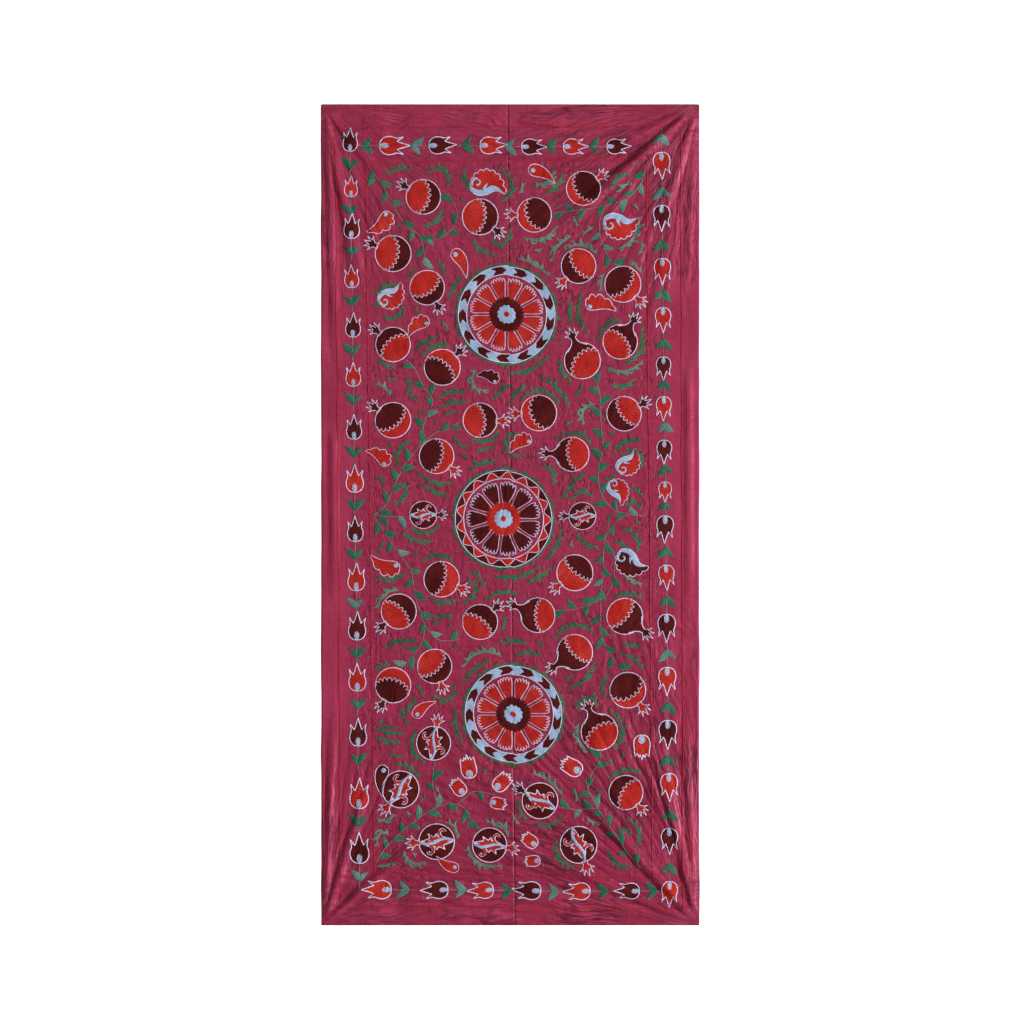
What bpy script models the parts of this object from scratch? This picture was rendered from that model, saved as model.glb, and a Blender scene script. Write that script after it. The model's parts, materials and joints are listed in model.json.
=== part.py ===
"""A suzani, laid out face up: a long wall cloth of two hand-loomed silk widths joined down the middle.

Metres, +Z up. The cloth lies on the ground at Z = 0 with its length along Y. Its embroidery is far
thinner than the cloth and isn't modelled here. Both widths are thin closed sheets that lie flat,
apart from the folds that run in from the corners and along the margins.
"""

import math

import bmesh
import bpy

CLOTH_WIDTH = 1.00
CLOTH_LENGTH = 2.17
CLOTH_THICKNESS = 0.0015
SEAM_GAP = 0.0003
# The middle seam is a little aslant: its X at the head end and at the foot end.
SEAM_X_HEAD = -0.007
SEAM_X_FOOT = 0.012

# Cells are small where the folds are, in the side margins and near both ends, and large elsewhere.
MARGIN_WIDTH = 0.16
MARGIN_CELLS = 12
MIDDLE_CELLS = 10
HEAD_FOLDS_LENGTH = 0.34
HEAD_CELLS = 22
FOOT_FOLDS_LENGTH = 0.46
FOOT_CELLS = 28
LONG_MIDDLE_CELLS = 20

# How a fold rises and dies away along its length, as shares of it.
RISE_SHARE = 0.10
FADE_SHARE = 0.55

SILK_COLOUR = (0.26, 0.031, 0.064, 1.0)
SILK_ROUGHNESS = 0.45

# Each fold is a soft ridge on a straight line. Half widths and heights are in millimetres.
FOLD_COLUMNS = ("name", "start_x", "start_y", "end_x", "end_y", "start_half", "end_half", "height")
FOLD_ROWS = (
    ("head_right_long", 0.492, 1.078, 0.060, 0.700, 14, 30, 8),
    ("head_right_upper", 0.480, 1.075, 0.180, 0.930, 12, 24, 5),
    ("head_right_steep", 0.492, 1.070, 0.385, 0.740, 13, 26, 6),
    ("head_right_margin", 0.488, 1.050, 0.462, 0.520, 12, 20, 4),
    ("head_left_long", -0.492, 1.078, -0.385, 0.560, 13, 26, 6),
    ("head_left_slant", -0.488, 1.074, -0.290, 0.830, 12, 24, 5),
    ("head_left_margin", -0.485, 1.050, -0.455, 0.300, 12, 22, 5),
    ("foot_right_long", 0.492, -1.078, 0.100, -0.640, 14, 34, 9),
    ("foot_right_low", 0.482, -1.076, 0.030, -0.880, 13, 30, 8),
    ("foot_right_hem", 0.470, -1.078, 0.150, -1.010, 10, 20, 5),
    ("foot_right_steep", 0.492, -1.070, 0.375, -0.560, 13, 28, 7),
    ("foot_right_margin", 0.488, -1.050, 0.458, -0.480, 12, 22, 5),
    ("foot_left_long", -0.492, -1.078, -0.345, -0.620, 13, 28, 7),
    ("foot_left_slant", -0.486, -1.074, -0.200, -0.830, 12, 26, 6),
    ("foot_left_margin", -0.488, -1.050, -0.458, -0.400, 12, 22, 5),
    ("side_left", -0.468, 0.240, -0.462, -0.360, 18, 18, 4),
    ("side_right", 0.470, 0.420, 0.474, -0.420, 18, 18, 4),
    ("head_hem", 0.020, 1.058, 0.230, 1.036, 12, 18, 4),
    ("foot_hem", -0.180, -1.052, 0.060, -1.066, 12, 16, 4),
)
FOLDS = [dict(zip(FOLD_COLUMNS, row)) for row in FOLD_ROWS]


def soft_step(share):
    """0 below 0, 1 above 1, and a smooth rise between."""
    share = min(max(share, 0.0), 1.0)
    return share * share * (3.0 - 2.0 * share)


def fold_height(fold, x, y):
    """How far one fold lifts the cloth at this point."""
    run_x = fold["end_x"] - fold["start_x"]
    run_y = fold["end_y"] - fold["start_y"]
    length = math.hypot(run_x, run_y)
    along = ((x - fold["start_x"]) * run_x + (y - fold["start_y"]) * run_y) / length**2
    if not 0.0 < along < 1.0:
        return 0.0
    aside = abs((x - fold["start_x"]) * run_y - (y - fold["start_y"]) * run_x) / length
    half_width = (fold["start_half"] + (fold["end_half"] - fold["start_half"]) * along) / 1000
    if aside >= half_width:
        return 0.0
    across = (1.0 - (aside / half_width) ** 2) ** 2
    lengthwise = soft_step(along / RISE_SHARE) * soft_step((1.0 - along) / FADE_SHARE)
    return fold["height"] / 1000 * across * lengthwise


def lift(x, y):
    """The underside's height: 0 where the cloth lies flat. Where folds meet, the higher one counts."""
    return max(fold_height(fold, x, y) for fold in FOLDS)


def spaced(start, end, cells):
    """The grid lines of this many equal cells, without the last line."""
    return [start + (end - start) * step / cells for step in range(cells)]


def seam_x(y):
    """The seam's X at this Y."""
    share = 0.5 + y / CLOTH_LENGTH
    return SEAM_X_FOOT + (SEAM_X_HEAD - SEAM_X_FOOT) * share


def length_lines():
    """Y of the grid's rows, from the foot to the head."""
    foot = -CLOTH_LENGTH / 2
    head = CLOTH_LENGTH / 2
    foot_line = foot + FOOT_FOLDS_LENGTH
    head_line = head - HEAD_FOLDS_LENGTH
    lines = spaced(foot, foot_line, FOOT_CELLS)
    lines += spaced(foot_line, head_line, LONG_MIDDLE_CELLS)
    lines += spaced(head_line, head, HEAD_CELLS)
    return lines + [head]


def width_lines(side, y):
    """X of one row's grid points, from the outer edge to the seam. side is -1 on the left, 1 on the right."""
    outer = side * CLOTH_WIDTH / 2
    margin = side * (CLOTH_WIDTH / 2 - MARGIN_WIDTH)
    inner = seam_x(y) + side * SEAM_GAP / 2
    lines = spaced(outer, margin, MARGIN_CELLS)
    lines += spaced(margin, inner, MIDDLE_CELLS)
    return lines + [inner]


def silk(name):
    """Hand-loomed silk, plum crimson."""
    material = bpy.data.materials.new(name)
    material.use_nodes = True
    shader = material.node_tree.nodes["Principled BSDF"]
    shader.inputs["Base Color"].default_value = SILK_COLOUR
    shader.inputs["Roughness"].default_value = SILK_ROUGHNESS
    shader.inputs["Metallic"].default_value = 0.0
    material.diffuse_color = SILK_COLOUR
    return material


def rim(rows):
    """The points round the edge of one layer, in order."""
    outer_edge = [row[0] for row in rows]
    inner_edge = [row[-1] for row in rows]
    return outer_edge + rows[-1][1:-1] + inner_edge[::-1] + rows[0][-2:0:-1]


def panel(name, side):
    """One width of cloth: a face for each grid cell on the underside, and the same again a thickness above."""
    mesh = bpy.data.meshes.new(name)
    shell = bmesh.new()
    layers = []
    for height in (0.0, CLOTH_THICKNESS):
        rows = [
            [shell.verts.new((x, y, lift(x, y) + height)) for x in width_lines(side, y)]
            for y in length_lines()
        ]
        layers.append(rows)
    under, upper = layers
    for rows in layers:
        for row, following in zip(rows, rows[1:]):
            for a, b, c, d in zip(row, row[1:], following[1:], following):
                shell.faces.new((a, b, c, d))
    # The cut edges: each rim edge of the underside is joined to the one above it.
    rim_under, rim_upper = rim(under), rim(upper)
    for index in range(len(rim_under)):
        following = (index + 1) % len(rim_under)
        corners = (rim_under[index], rim_under[following], rim_upper[following], rim_upper[index])
        shell.faces.new(corners)
    bmesh.ops.recalc_face_normals(shell, faces=shell.faces)
    shell.to_mesh(mesh)
    shell.free()
    mesh.shade_smooth()
    mesh.set_sharp_from_angle(angle=math.radians(40))
    cloth = bpy.data.objects.new(name, mesh)
    mesh.materials.append(silk(f"silk_{name}"))
    bpy.context.scene.collection.objects.link(cloth)
    return cloth


for old in list(bpy.data.objects):
    bpy.data.objects.remove(old)

panel("panel_left", -1)
panel("panel_right", 1)
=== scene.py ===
# %% [markdown]
# # A suzani, laid out face up
#
# A suzani is a Central Asian wall cloth: lengths of hand-loomed silk, drawn on with a pen, embroidered
# one by one in chain stitch, and only then sewn together. This lesson builds one in Blender. It first
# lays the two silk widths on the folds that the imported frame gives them, then stitches the design in
# raised floss, one thread colour at a time, and lights it as a plain studio table.

# %% Load the frame
import json
import math
import random

import bpy
import numpy as np
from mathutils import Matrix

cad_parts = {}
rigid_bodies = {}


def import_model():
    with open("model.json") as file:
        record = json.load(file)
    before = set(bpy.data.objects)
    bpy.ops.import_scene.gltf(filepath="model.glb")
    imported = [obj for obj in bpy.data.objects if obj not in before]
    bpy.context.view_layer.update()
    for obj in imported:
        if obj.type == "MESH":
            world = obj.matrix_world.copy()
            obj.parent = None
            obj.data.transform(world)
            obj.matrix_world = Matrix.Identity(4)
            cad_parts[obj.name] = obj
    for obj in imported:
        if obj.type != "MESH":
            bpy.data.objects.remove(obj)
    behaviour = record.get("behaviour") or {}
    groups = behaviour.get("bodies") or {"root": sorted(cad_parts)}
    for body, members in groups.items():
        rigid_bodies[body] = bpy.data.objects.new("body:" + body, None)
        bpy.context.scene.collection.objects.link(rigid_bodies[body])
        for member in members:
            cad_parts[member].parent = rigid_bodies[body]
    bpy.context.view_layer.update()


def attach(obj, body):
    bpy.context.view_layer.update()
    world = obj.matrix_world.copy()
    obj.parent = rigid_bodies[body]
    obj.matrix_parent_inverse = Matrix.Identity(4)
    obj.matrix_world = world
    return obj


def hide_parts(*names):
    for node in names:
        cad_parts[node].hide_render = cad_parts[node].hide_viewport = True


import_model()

# %% [markdown]
# The cloth is a metre wide and a little over two metres long. The middle seam runs a trifle aslant,
# as hand sewing does, so its X is worked out from Y wherever it is needed.

# %% Main sizes, in metres
CLOTH_WIDTH = 1.00
CLOTH_LENGTH = 2.17
SEAM_X_HEAD = -0.007
SEAM_X_FOOT = 0.012


def seam_x(y):
    """X of the seam between the two widths at this Y."""
    return SEAM_X_FOOT + (SEAM_X_HEAD - SEAM_X_FOOT) * (0.5 + y / CLOTH_LENGTH)


print("seam from", seam_x(-CLOTH_LENGTH / 2), "to", seam_x(CLOTH_LENGTH / 2))

# %% [markdown]
# The camera hangs straight above the cloth with a long lens, so the cloth's sides stay parallel. Its
# distance follows from the lens: the view takes in 2.7 m of table.

# %% Camera
VIEW_WIDTH = 2.706
LENS_MM = 100.0
SENSOR_MM = 36.0
VIEW_CENTRE = (0.0045, 0.0075)

bpy.ops.object.select_all(action="DESELECT")
camera_height = VIEW_WIDTH * LENS_MM / SENSOR_MM
bpy.ops.object.camera_add(location=(*VIEW_CENTRE, camera_height), rotation=(0.0, 0.0, 0.0))
camera = bpy.context.object
camera.name = "camera"
camera.data.lens = LENS_MM
camera.data.sensor_width = SENSOR_MM
camera.data.clip_end = 100.0
bpy.context.scene.camera = camera
print("camera height:", round(camera_height, 2))

# %% [markdown]
# Every finish here is built from shader nodes. Colours are chosen as sRGB hex values, the way a dyer's
# card would be read off a screen, and one function turns them to the linear values that shaders use.
# One more small function adds a node with its settings and its links.

# %% Helpers for finishes
def colour(code):
    """A linear RGBA colour from an sRGB hex value."""
    channels = [int(code[place:place + 2], 16) / 255 for place in (1, 3, 5)]
    linear = [c / 12.92 if c <= 0.04045 else ((c + 0.055) / 1.055) ** 2.4 for c in channels]
    return (*linear, 1.0)


def add_node(tree, kind, links=None, **settings):
    """A new node. links gives its inputs by name or number: a socket is linked, and a value is set."""
    made = tree.nodes.new(kind)
    for name, value in settings.items():
        setattr(made, name, value)
    for name, value in (links or {}).items():
        if isinstance(value, bpy.types.NodeSocket):
            tree.links.new(value, made.inputs[name])
        else:
            made.inputs[name].default_value = value
    return made


def new_finish(name):
    """A material with its node tree and its Principled shader."""
    finish = bpy.data.materials.new(name)
    finish.use_nodes = True
    return finish, finish.node_tree, finish.node_tree.nodes["Principled BSDF"]


print("burgundy check:", [round(c, 3) for c in colour("#7A1F3C")])

# %% [markdown]
# The table is a light table: one large white plane that glows, so the cloth throws no grey shadow on it.
# Shallow folds only show in raking light, so a soft, low lamp stands off to the right, a weaker one is
# high over the head, and a pale sky fills the shadows. The lamps stand fourteen metres away, which leaves
# the far side of the cloth a little darker than the near one.

# %% Table and light
TABLE_SIZE = 60.0
TABLE_GLOW = 0.75
SKY_STRENGTH = 0.24
LAMP_DISTANCE = 14.0
LAMP_COLUMNS = ("name", "strength", "softness", "azimuth", "elevation")
LAMP_ROWS = (
    ("key_lamp", 5.9, 9, -8, 29),
    ("high_lamp", 1.1, 24, 100, 66),
)

bpy.ops.mesh.primitive_plane_add(size=TABLE_SIZE, location=(0.0, 0.0, -0.0002))
table = bpy.context.object
table.name = "table"
glowing_table, _, table_shader = new_finish("glowing white acrylic")
table_shader.inputs["Base Color"].default_value = colour("#F7F6F4")
table_shader.inputs["Roughness"].default_value = 0.9
table_shader.inputs["Emission Color"].default_value = (1.0, 1.0, 1.0, 1.0)
table_shader.inputs["Emission Strength"].default_value = TABLE_GLOW
table.data.materials.append(glowing_table)

sky = bpy.data.worlds.new("pale sky")
sky.use_nodes = True
sky.node_tree.nodes["Background"].inputs["Color"].default_value = (1.0, 1.0, 1.0, 1.0)
sky.node_tree.nodes["Background"].inputs["Strength"].default_value = SKY_STRENGTH
bpy.context.scene.world = sky
bpy.context.scene.view_settings.view_transform = "Standard"


def soft_lamp(row):
    """A soft square lamp that shines on the cloth from this azimuth and elevation, in degrees."""
    around = math.radians(row["azimuth"])
    up = math.radians(row["elevation"])
    off = (math.cos(up) * math.cos(around), math.cos(up) * math.sin(around), math.sin(up))
    turn = (math.radians(90) - up, 0.0, around + math.radians(90))
    bpy.ops.object.light_add(type="AREA", location=[LAMP_DISTANCE * part for part in off], rotation=turn)
    lamp = bpy.context.object
    lamp.name = row["name"]
    lamp.data.energy = row["strength"] * math.pi * LAMP_DISTANCE**2
    lamp.data.size = 2 * LAMP_DISTANCE * math.tan(math.radians(row["softness"]) / 2)
    lamp.visible_camera = False


for entry in LAMP_ROWS:
    soft_lamp(dict(zip(LAMP_COLUMNS, entry)))

# %% [markdown]
# The cloth was pulled taut from its corners, and its folds run in from them. The main folds are those of
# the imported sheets, a row for each: a straight ridge that widens from its start, rises quickly and dies
# away slowly. They are worked out with numpy for many points at once.

# %% The main folds
FOLD_COLUMNS = ("name", "start_x", "start_y", "end_x", "end_y", "start_half", "end_half", "height")
FOLD_ROWS = (
    ("head_right_long", 0.492, 1.078, 0.060, 0.700, 14, 30, 8),
    ("head_right_upper", 0.480, 1.075, 0.180, 0.930, 12, 24, 5),
    ("head_right_steep", 0.492, 1.070, 0.385, 0.740, 13, 26, 6),
    ("head_right_margin", 0.488, 1.050, 0.462, 0.520, 12, 20, 4),
    ("head_left_long", -0.492, 1.078, -0.385, 0.560, 13, 26, 6),
    ("head_left_slant", -0.488, 1.074, -0.290, 0.830, 12, 24, 5),
    ("head_left_margin", -0.485, 1.050, -0.455, 0.300, 12, 22, 5),
    ("foot_right_long", 0.492, -1.078, 0.100, -0.640, 14, 34, 9),
    ("foot_right_low", 0.482, -1.076, 0.030, -0.880, 13, 30, 8),
    ("foot_right_hem", 0.470, -1.078, 0.150, -1.010, 10, 20, 5),
    ("foot_right_steep", 0.492, -1.070, 0.375, -0.560, 13, 28, 7),
    ("foot_right_margin", 0.488, -1.050, 0.458, -0.480, 12, 22, 5),
    ("foot_left_long", -0.492, -1.078, -0.345, -0.620, 13, 28, 7),
    ("foot_left_slant", -0.486, -1.074, -0.200, -0.830, 12, 26, 6),
    ("foot_left_margin", -0.488, -1.050, -0.458, -0.400, 12, 22, 5),
    ("side_left", -0.468, 0.240, -0.462, -0.360, 18, 18, 4),
    ("side_right", 0.470, 0.420, 0.474, -0.420, 18, 18, 4),
    ("head_hem", 0.020, 1.058, 0.230, 1.036, 12, 18, 4),
    ("foot_hem", -0.180, -1.052, 0.060, -1.066, 12, 16, 4),
)
FOLDS = [dict(zip(FOLD_COLUMNS, row)) for row in FOLD_ROWS]
RISE_SHARE = 0.10
FADE_SHARE = 0.55


def soft_step(share):
    """0 below 0, 1 above 1, and a smooth rise between."""
    share = np.clip(share, 0.0, 1.0)
    return share * share * (3.0 - 2.0 * share)


def ridge(fold, x, y):
    """How far one fold lifts the cloth at these points."""
    run_x = fold["end_x"] - fold["start_x"]
    run_y = fold["end_y"] - fold["start_y"]
    length = math.hypot(run_x, run_y)
    along = ((x - fold["start_x"]) * run_x + (y - fold["start_y"]) * run_y) / length**2
    aside = np.abs((x - fold["start_x"]) * run_y - (y - fold["start_y"]) * run_x) / length
    half_width = (fold["start_half"] + (fold["end_half"] - fold["start_half"]) * along) / 1000
    across = np.clip(1.0 - (aside / np.maximum(half_width, 0.001)) ** 2, 0.0, 1.0) ** 2
    lengthwise = soft_step(along / RISE_SHARE) * soft_step((1.0 - along) / FADE_SHARE)
    return fold["height"] / 1000 * across * lengthwise


def main_folds(x, y):
    """Height of the main folds, 0 where the cloth lies flat."""
    return np.max([ridge(fold, x, y) for fold in FOLDS], axis=0)


print("fold height near the head's right corner:", main_folds(np.array([0.35]), np.array([0.95])))

# %% [markdown]
# Real silk is never quite flat between its folds. Finer creases are added in four kinds: a fan of creases
# out of each corner, long upright ones in the side margins, short level ones in the end margins, and
# small puckers where the stitching has drawn the field together. All have round crests and sharp
# valleys, as pulled cloth has, and smooth noise on a grid of cells keeps them uneven.

# %% The finer creases
NOISE_CELLS = 64
SIDE_CREASE_RISE = 0.0011
END_CREASE_RISE = 0.0054
PUCKER_RISE = 0.0024
MOST_RISE = 0.0072


def smooth_noise(x, y, cell_x, cell_y, seed):
    """Noise from -1 to 1 that changes over cells of this size, the same on each run."""
    table_of_values = np.random.default_rng(seed).uniform(-1.0, 1.0, (NOISE_CELLS, NOISE_CELLS))
    u = x / cell_x + NOISE_CELLS / 2
    v = y / cell_y + NOISE_CELLS / 2
    i = np.floor(u).astype(int)
    j = np.floor(v).astype(int)
    share_u = soft_step(u - i)
    share_v = soft_step(v - j)
    i, i_next = i % NOISE_CELLS, (i + 1) % NOISE_CELLS
    j, j_next = j % NOISE_CELLS, (j + 1) % NOISE_CELLS
    low = table_of_values[i, j] * (1 - share_u) + table_of_values[i_next, j] * share_u
    high = table_of_values[i, j_next] * (1 - share_u) + table_of_values[i_next, j_next] * share_u
    return low * (1 - share_v) + high * share_v


def creased(phase):
    """Broad crests with a narrow valley at each whole number, from 0 to 1."""
    return np.abs(np.sin(math.pi * phase)) ** 0.6


# A fan for each corner: its bearings in degrees from the end of the cloth, how far it reaches in metres,
# and the height of its creases in millimetres.
CORNER_COLUMNS = ("side_x", "side_y", "from_bearing", "to_bearing", "reach", "height", "seed")
CORNER_ROWS = (
    (1, 1, 6, 84, 0.80, 4.4, 3),
    (-1, 1, 42, 96, 0.66, 3.6, 5),
    (1, -1, 0, 86, 1.00, 4.9, 7),
    (-1, -1, 30, 96, 0.60, 3.8, 9),
)
CORNERS = [dict(zip(CORNER_COLUMNS, row)) for row in CORNER_ROWS]
# Four grades of crease share a fan, so that they stay about as wide all the way out: degrees for each
# crease, and the distances in metres between which the grade is in play.
GRADES = ((15.0, 0.02, 0.20), (7.4, 0.09, 0.40), (3.7, 0.20, 0.78), (1.9, 0.42, 1.40))
# Small creases ride on the large ones: the share of the height, and how many times finer.
FINENESS = ((1.0, 1.0), (0.38, 2.2))


def corner_creases(corner, x, y):
    """Creases that run out from one corner and die away at their reach."""
    in_x = CLOTH_WIDTH / 2 - corner["side_x"] * x
    in_y = CLOTH_LENGTH / 2 - corner["side_y"] * y
    away = np.hypot(in_x, in_y)
    bearing = np.degrees(np.arctan2(in_y, in_x))
    height = np.zeros_like(away)
    for share, finer in FINENESS:
        layer = np.zeros_like(away)
        for grade, (step, start, end) in enumerate(GRADES):
            seed = corner["seed"] * 10 + grade + round(finer)
            wander = 0.45 * smooth_noise(x, y, 0.16, 0.16, seed)
            wander += 0.12 * smooth_noise(x, y, 0.05, 0.05, seed + 3)
            phase = bearing / step * finer
            strength = soft_step(0.50 + 1.15 * smooth_noise(phase / 1.5, away, 1.0, 0.11, seed + 5))
            in_play = soft_step((away - start) / (0.5 * start)) * soft_step((end - away) / (0.3 * end))
            layer = np.maximum(layer, creased(phase + wander) * strength * in_play)
        height += share * layer
    inside = soft_step((bearing - corner["from_bearing"]) / 12)
    inside = inside * soft_step((corner["to_bearing"] - bearing) / 8)
    fade = soft_step(away / 0.05) * soft_step(2.0 * (1 - away / corner["reach"]))
    return corner["height"] / 1000 * height * inside * fade


def side_creases(x, y):
    """Upright creases in the plain side margins."""
    from_side = CLOTH_WIDTH / 2 - np.abs(x)
    wander = 1.1 * smooth_noise(x, y, 0.35, 0.26, 11) + 0.2 * smooth_noise(x, y, 0.04, 0.05, 14)
    strength = soft_step(0.6 + 0.6 * smooth_noise(x, y, 0.03, 0.24, 12))
    fade = soft_step(from_side / 0.014) * soft_step((0.13 - from_side) / 0.05)
    return SIDE_CREASE_RISE * creased(from_side / 0.031 + wander) * strength * fade


def end_creases(x, y):
    """Short level creases in the margins at the head and the foot."""
    from_end = CLOTH_LENGTH / 2 - np.abs(y)
    wander = 1.2 * smooth_noise(x, y, 0.08, 0.20, 15) + 0.35 * smooth_noise(x, y, 0.03, 0.03, 16)
    strength = soft_step(0.40 + 1.0 * smooth_noise(x, y, 0.060, 0.016, 17))
    fade = soft_step(from_end / 0.012) * soft_step((0.17 - from_end) / 0.06)
    return END_CREASE_RISE * creased(from_end / 0.019 + wander) * strength * fade


def puckers(x, y):
    """Small creases in the embroidered field, where the thread drew the silk in."""
    from_side = CLOTH_WIDTH / 2 - np.abs(x)
    from_end = CLOTH_LENGTH / 2 - np.abs(y)
    in_field = soft_step((np.minimum(from_side, from_end) - 0.05) / 0.06)
    bent = x + 0.012 * smooth_noise(x, y, 0.045, 0.030, 23)
    upright = np.abs(smooth_noise(bent, y, 0.012, 0.034, 21))
    level = np.abs(smooth_noise(x, y, 0.034, 0.011, 22))
    mostly_upright = soft_step(0.5 + 0.9 * smooth_noise(x, y, 0.070, 0.070, 23))
    return PUCKER_RISE * in_field * (upright * mostly_upright + level * (1 - mostly_upright))


def fine_creases(x, y):
    """All the finer creases together, flattened off where several pile up."""
    fans = sum(corner_creases(corner, x, y) for corner in CORNERS)
    together = fans + side_creases(x, y) + end_creases(x, y) + puckers(x, y)
    return MOST_RISE * np.tanh(together / MOST_RISE)


probe = np.linspace(-0.48, 0.48, 200)
print("finer creases, mm:", np.ptp(fine_creases(probe, probe)) * 1000)

# %% [markdown]
# Each width of silk is a fine grid on those folds. Its outer edge is turned under in a narrow hem, which
# stands a little prouder, and the two inner edges dip into the seam. A grid primitive is added at its
# size, its points are moved onto the surface, and a Solidify modifier gives it its thickness. A Decimate
# modifier then thins the underside, which nobody sees, so that the face can keep the finer grid.

# %% The surface of the cloth
BASE_HEIGHT = 0.0022
SILK_THICKNESS = 0.0010
HEM_WIDTH = 0.009
HEM_RISE = 0.0006
SEAM_DIP = 0.0005
SEAM_HALF = 0.0040
CORNER_RADIUS = 0.003


def cloth_top(x, y):
    """Height of the cloth's face over the table."""
    from_edge = np.minimum(CLOTH_WIDTH / 2 - np.abs(x), CLOTH_LENGTH / 2 - np.abs(y))
    hem = HEM_RISE * soft_step((HEM_WIDTH - from_edge) / 0.002)
    seam = -SEAM_DIP * soft_step(1 - np.abs(x - seam_x(y)) / SEAM_HALF)
    edge_drop = -0.0008 * soft_step(1 - from_edge / 0.004)
    height = BASE_HEIGHT + main_folds(x, y) + fine_creases(x, y) + hem + seam + edge_drop
    return np.maximum(height, SILK_THICKNESS + 0.0002)


print("face height at the middle, mm:", cloth_top(np.array([0.1]), np.array([0.0])) * 1000)

# %% Lay the two widths
CELL = 0.0039
UNDERSIDE_SHARE = 0.60
SEAM_LAP = 0.0008
LAP_DIP = 0.0006


def set_points(mesh, points):
    """Moves all the points of a mesh at once."""
    mesh.vertices.foreach_set("co", np.asarray(points, np.float32).ravel())
    mesh.update()


def points_of(mesh):
    """The points of a mesh as an array."""
    flat = np.empty(len(mesh.vertices) * 3, np.float32)
    mesh.vertices.foreach_get("co", flat)
    return flat.reshape(-1, 3).astype(float)


def round_corner(x, y):
    """Pulls the points outside a small corner arc onto it, as a folded hem's corner is."""
    centre_x = np.sign(x) * (CLOTH_WIDTH / 2 - CORNER_RADIUS)
    centre_y = np.sign(y) * (CLOTH_LENGTH / 2 - CORNER_RADIUS)
    out_x, out_y = x - centre_x, y - centre_y
    away = np.maximum(np.hypot(out_x, out_y), 1e-9)
    beyond = (out_x * np.sign(x) > 0) & (out_y * np.sign(y) > 0) & (away > CORNER_RADIUS)
    share = np.where(beyond, CORNER_RADIUS / away, 1.0)
    return centre_x + out_x * share, centre_y + out_y * share


def silk_width(name, side):
    """One width of silk. side is -1 on the left and 1 on the right."""
    columns = round(CLOTH_WIDTH / 2 / CELL)
    rows = round(CLOTH_LENGTH / CELL)
    bpy.ops.object.select_all(action="DESELECT")
    bpy.ops.mesh.primitive_grid_add(x_subdivisions=columns, y_subdivisions=rows, size=1.0)
    width = bpy.context.object
    width.name = name
    grid = points_of(width.data)
    share = grid[:, 0] + 0.5
    y = grid[:, 1] * CLOTH_LENGTH
    inner = seam_x(y) + SEAM_LAP * (side < 0)
    outer = np.full_like(y, side * CLOTH_WIDTH / 2)
    x = inner + (outer - inner) * share if side > 0 else outer + (inner - outer) * share
    waver = 0.0009 * smooth_noise(x * 0.0 + side, y, 1.0, 0.07, 31)
    x = x + waver * soft_step((np.abs(x) - 0.46) / 0.04)
    top = cloth_top(x, y) - LAP_DIP * (side < 0) * (x > seam_x(y) + SEAM_LAP / 2)
    x, y = round_corner(x, y)
    set_points(width.data, np.column_stack([x, y, top]))
    thick = width.modifiers.new("cloth", "SOLIDIFY")
    thick.thickness = SILK_THICKNESS
    thick.offset = -1.0
    bpy.ops.object.modifier_apply(modifier=thick.name)
    underside = width.vertex_groups.new(name="underside")
    underside.add(list(range(len(grid), 2 * len(grid))), 1.0, "REPLACE")
    fewer = width.modifiers.new("plain underside", "DECIMATE")
    fewer.ratio = UNDERSIDE_SHARE
    fewer.vertex_group = underside.name
    bpy.ops.object.modifier_apply(modifier=fewer.name)
    width.vertex_groups.clear()
    bpy.ops.object.shade_smooth()
    print(name, "triangles:", sum(len(face.vertices) - 2 for face in width.data.polygons))
    return width


left_width = silk_width("silk_left", -1)
right_width = silk_width("silk_right", 1)

# %% [markdown]
# Hand-loomed silk is lustrous but uneven. The plum dye took more in some threads than others, thick
# slubs run across with the weft, and the nap of years dulls it here and there. The weave itself is finer
# than half a millimetre, too fine to show. Fine creases run out from the corners here too: noise read
# by bearing and distance from a corner gives long thin streaks that fan out. The field inside the frame
# is painted darker, as painted shade for its puckers, and has short upright crinkles in patches. Both
# kinds of crease bump the surface, and their valleys are painted darker as painted shade. A little
# sheen stands for loose fibres.

# %% Hand-loomed silk
FAN_FINENESS = 30.0
# The crease height in millimetres at which a fan's valleys are darkest.
MOST_CREASE = 5.2
SLUB_LENGTH_MM = 45.0
SLUB_THICKNESS_MM = 1.9


def stretched_noise(tree, place, size_x_mm, size_y_mm, detail=2.0, shift=0.0):
    """Noise whose grains are this long and this high."""
    scale = (1000 / size_x_mm, 1000 / size_y_mm, 1.0)
    move = {"Vector": place, "Scale": scale, "Location": (shift, shift, 0.0)}
    spread = add_node(tree, "ShaderNodeMapping", move).outputs[0]
    grains = {"Vector": spread, "Scale": 1.0, "Detail": detail}
    return add_node(tree, "ShaderNodeTexNoise", grains).outputs["Fac"]


def between(tree, value, low, high):
    """Spreads the values from low to high over 0 to 1, and cuts off the rest."""
    limits = {"Value": value, "From Min": low, "From Max": high}
    return add_node(tree, "ShaderNodeMapRange", limits).outputs[0]


def mixed(tree, share, first, second):
    """The first colour where share is 0, and the second where it is 1."""
    colours = {"Fac": share, "Color1": first, "Color2": second}
    return add_node(tree, "ShaderNodeMixRGB", colours).outputs[0]


def total(tree, first, second, weight):
    """first plus weight times second."""
    parts = {0: second, 1: weight, 2: first}
    return add_node(tree, "ShaderNodeMath", parts, operation="MULTIPLY_ADD").outputs[0]


def maths(tree, kind, first, second=0.0):
    """One step of arithmetic."""
    return add_node(tree, "ShaderNodeMath", {0: first, 1: second}, operation=kind).outputs[0]


def valleys(tree, noise, width):
    """Narrow valleys where noise crosses its middle: 1 in a valley and 0 on the flat."""
    off = maths(tree, "ABSOLUTE", maths(tree, "SUBTRACT", noise, 0.5))
    return between(tree, off, width, 0.0)


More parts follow.
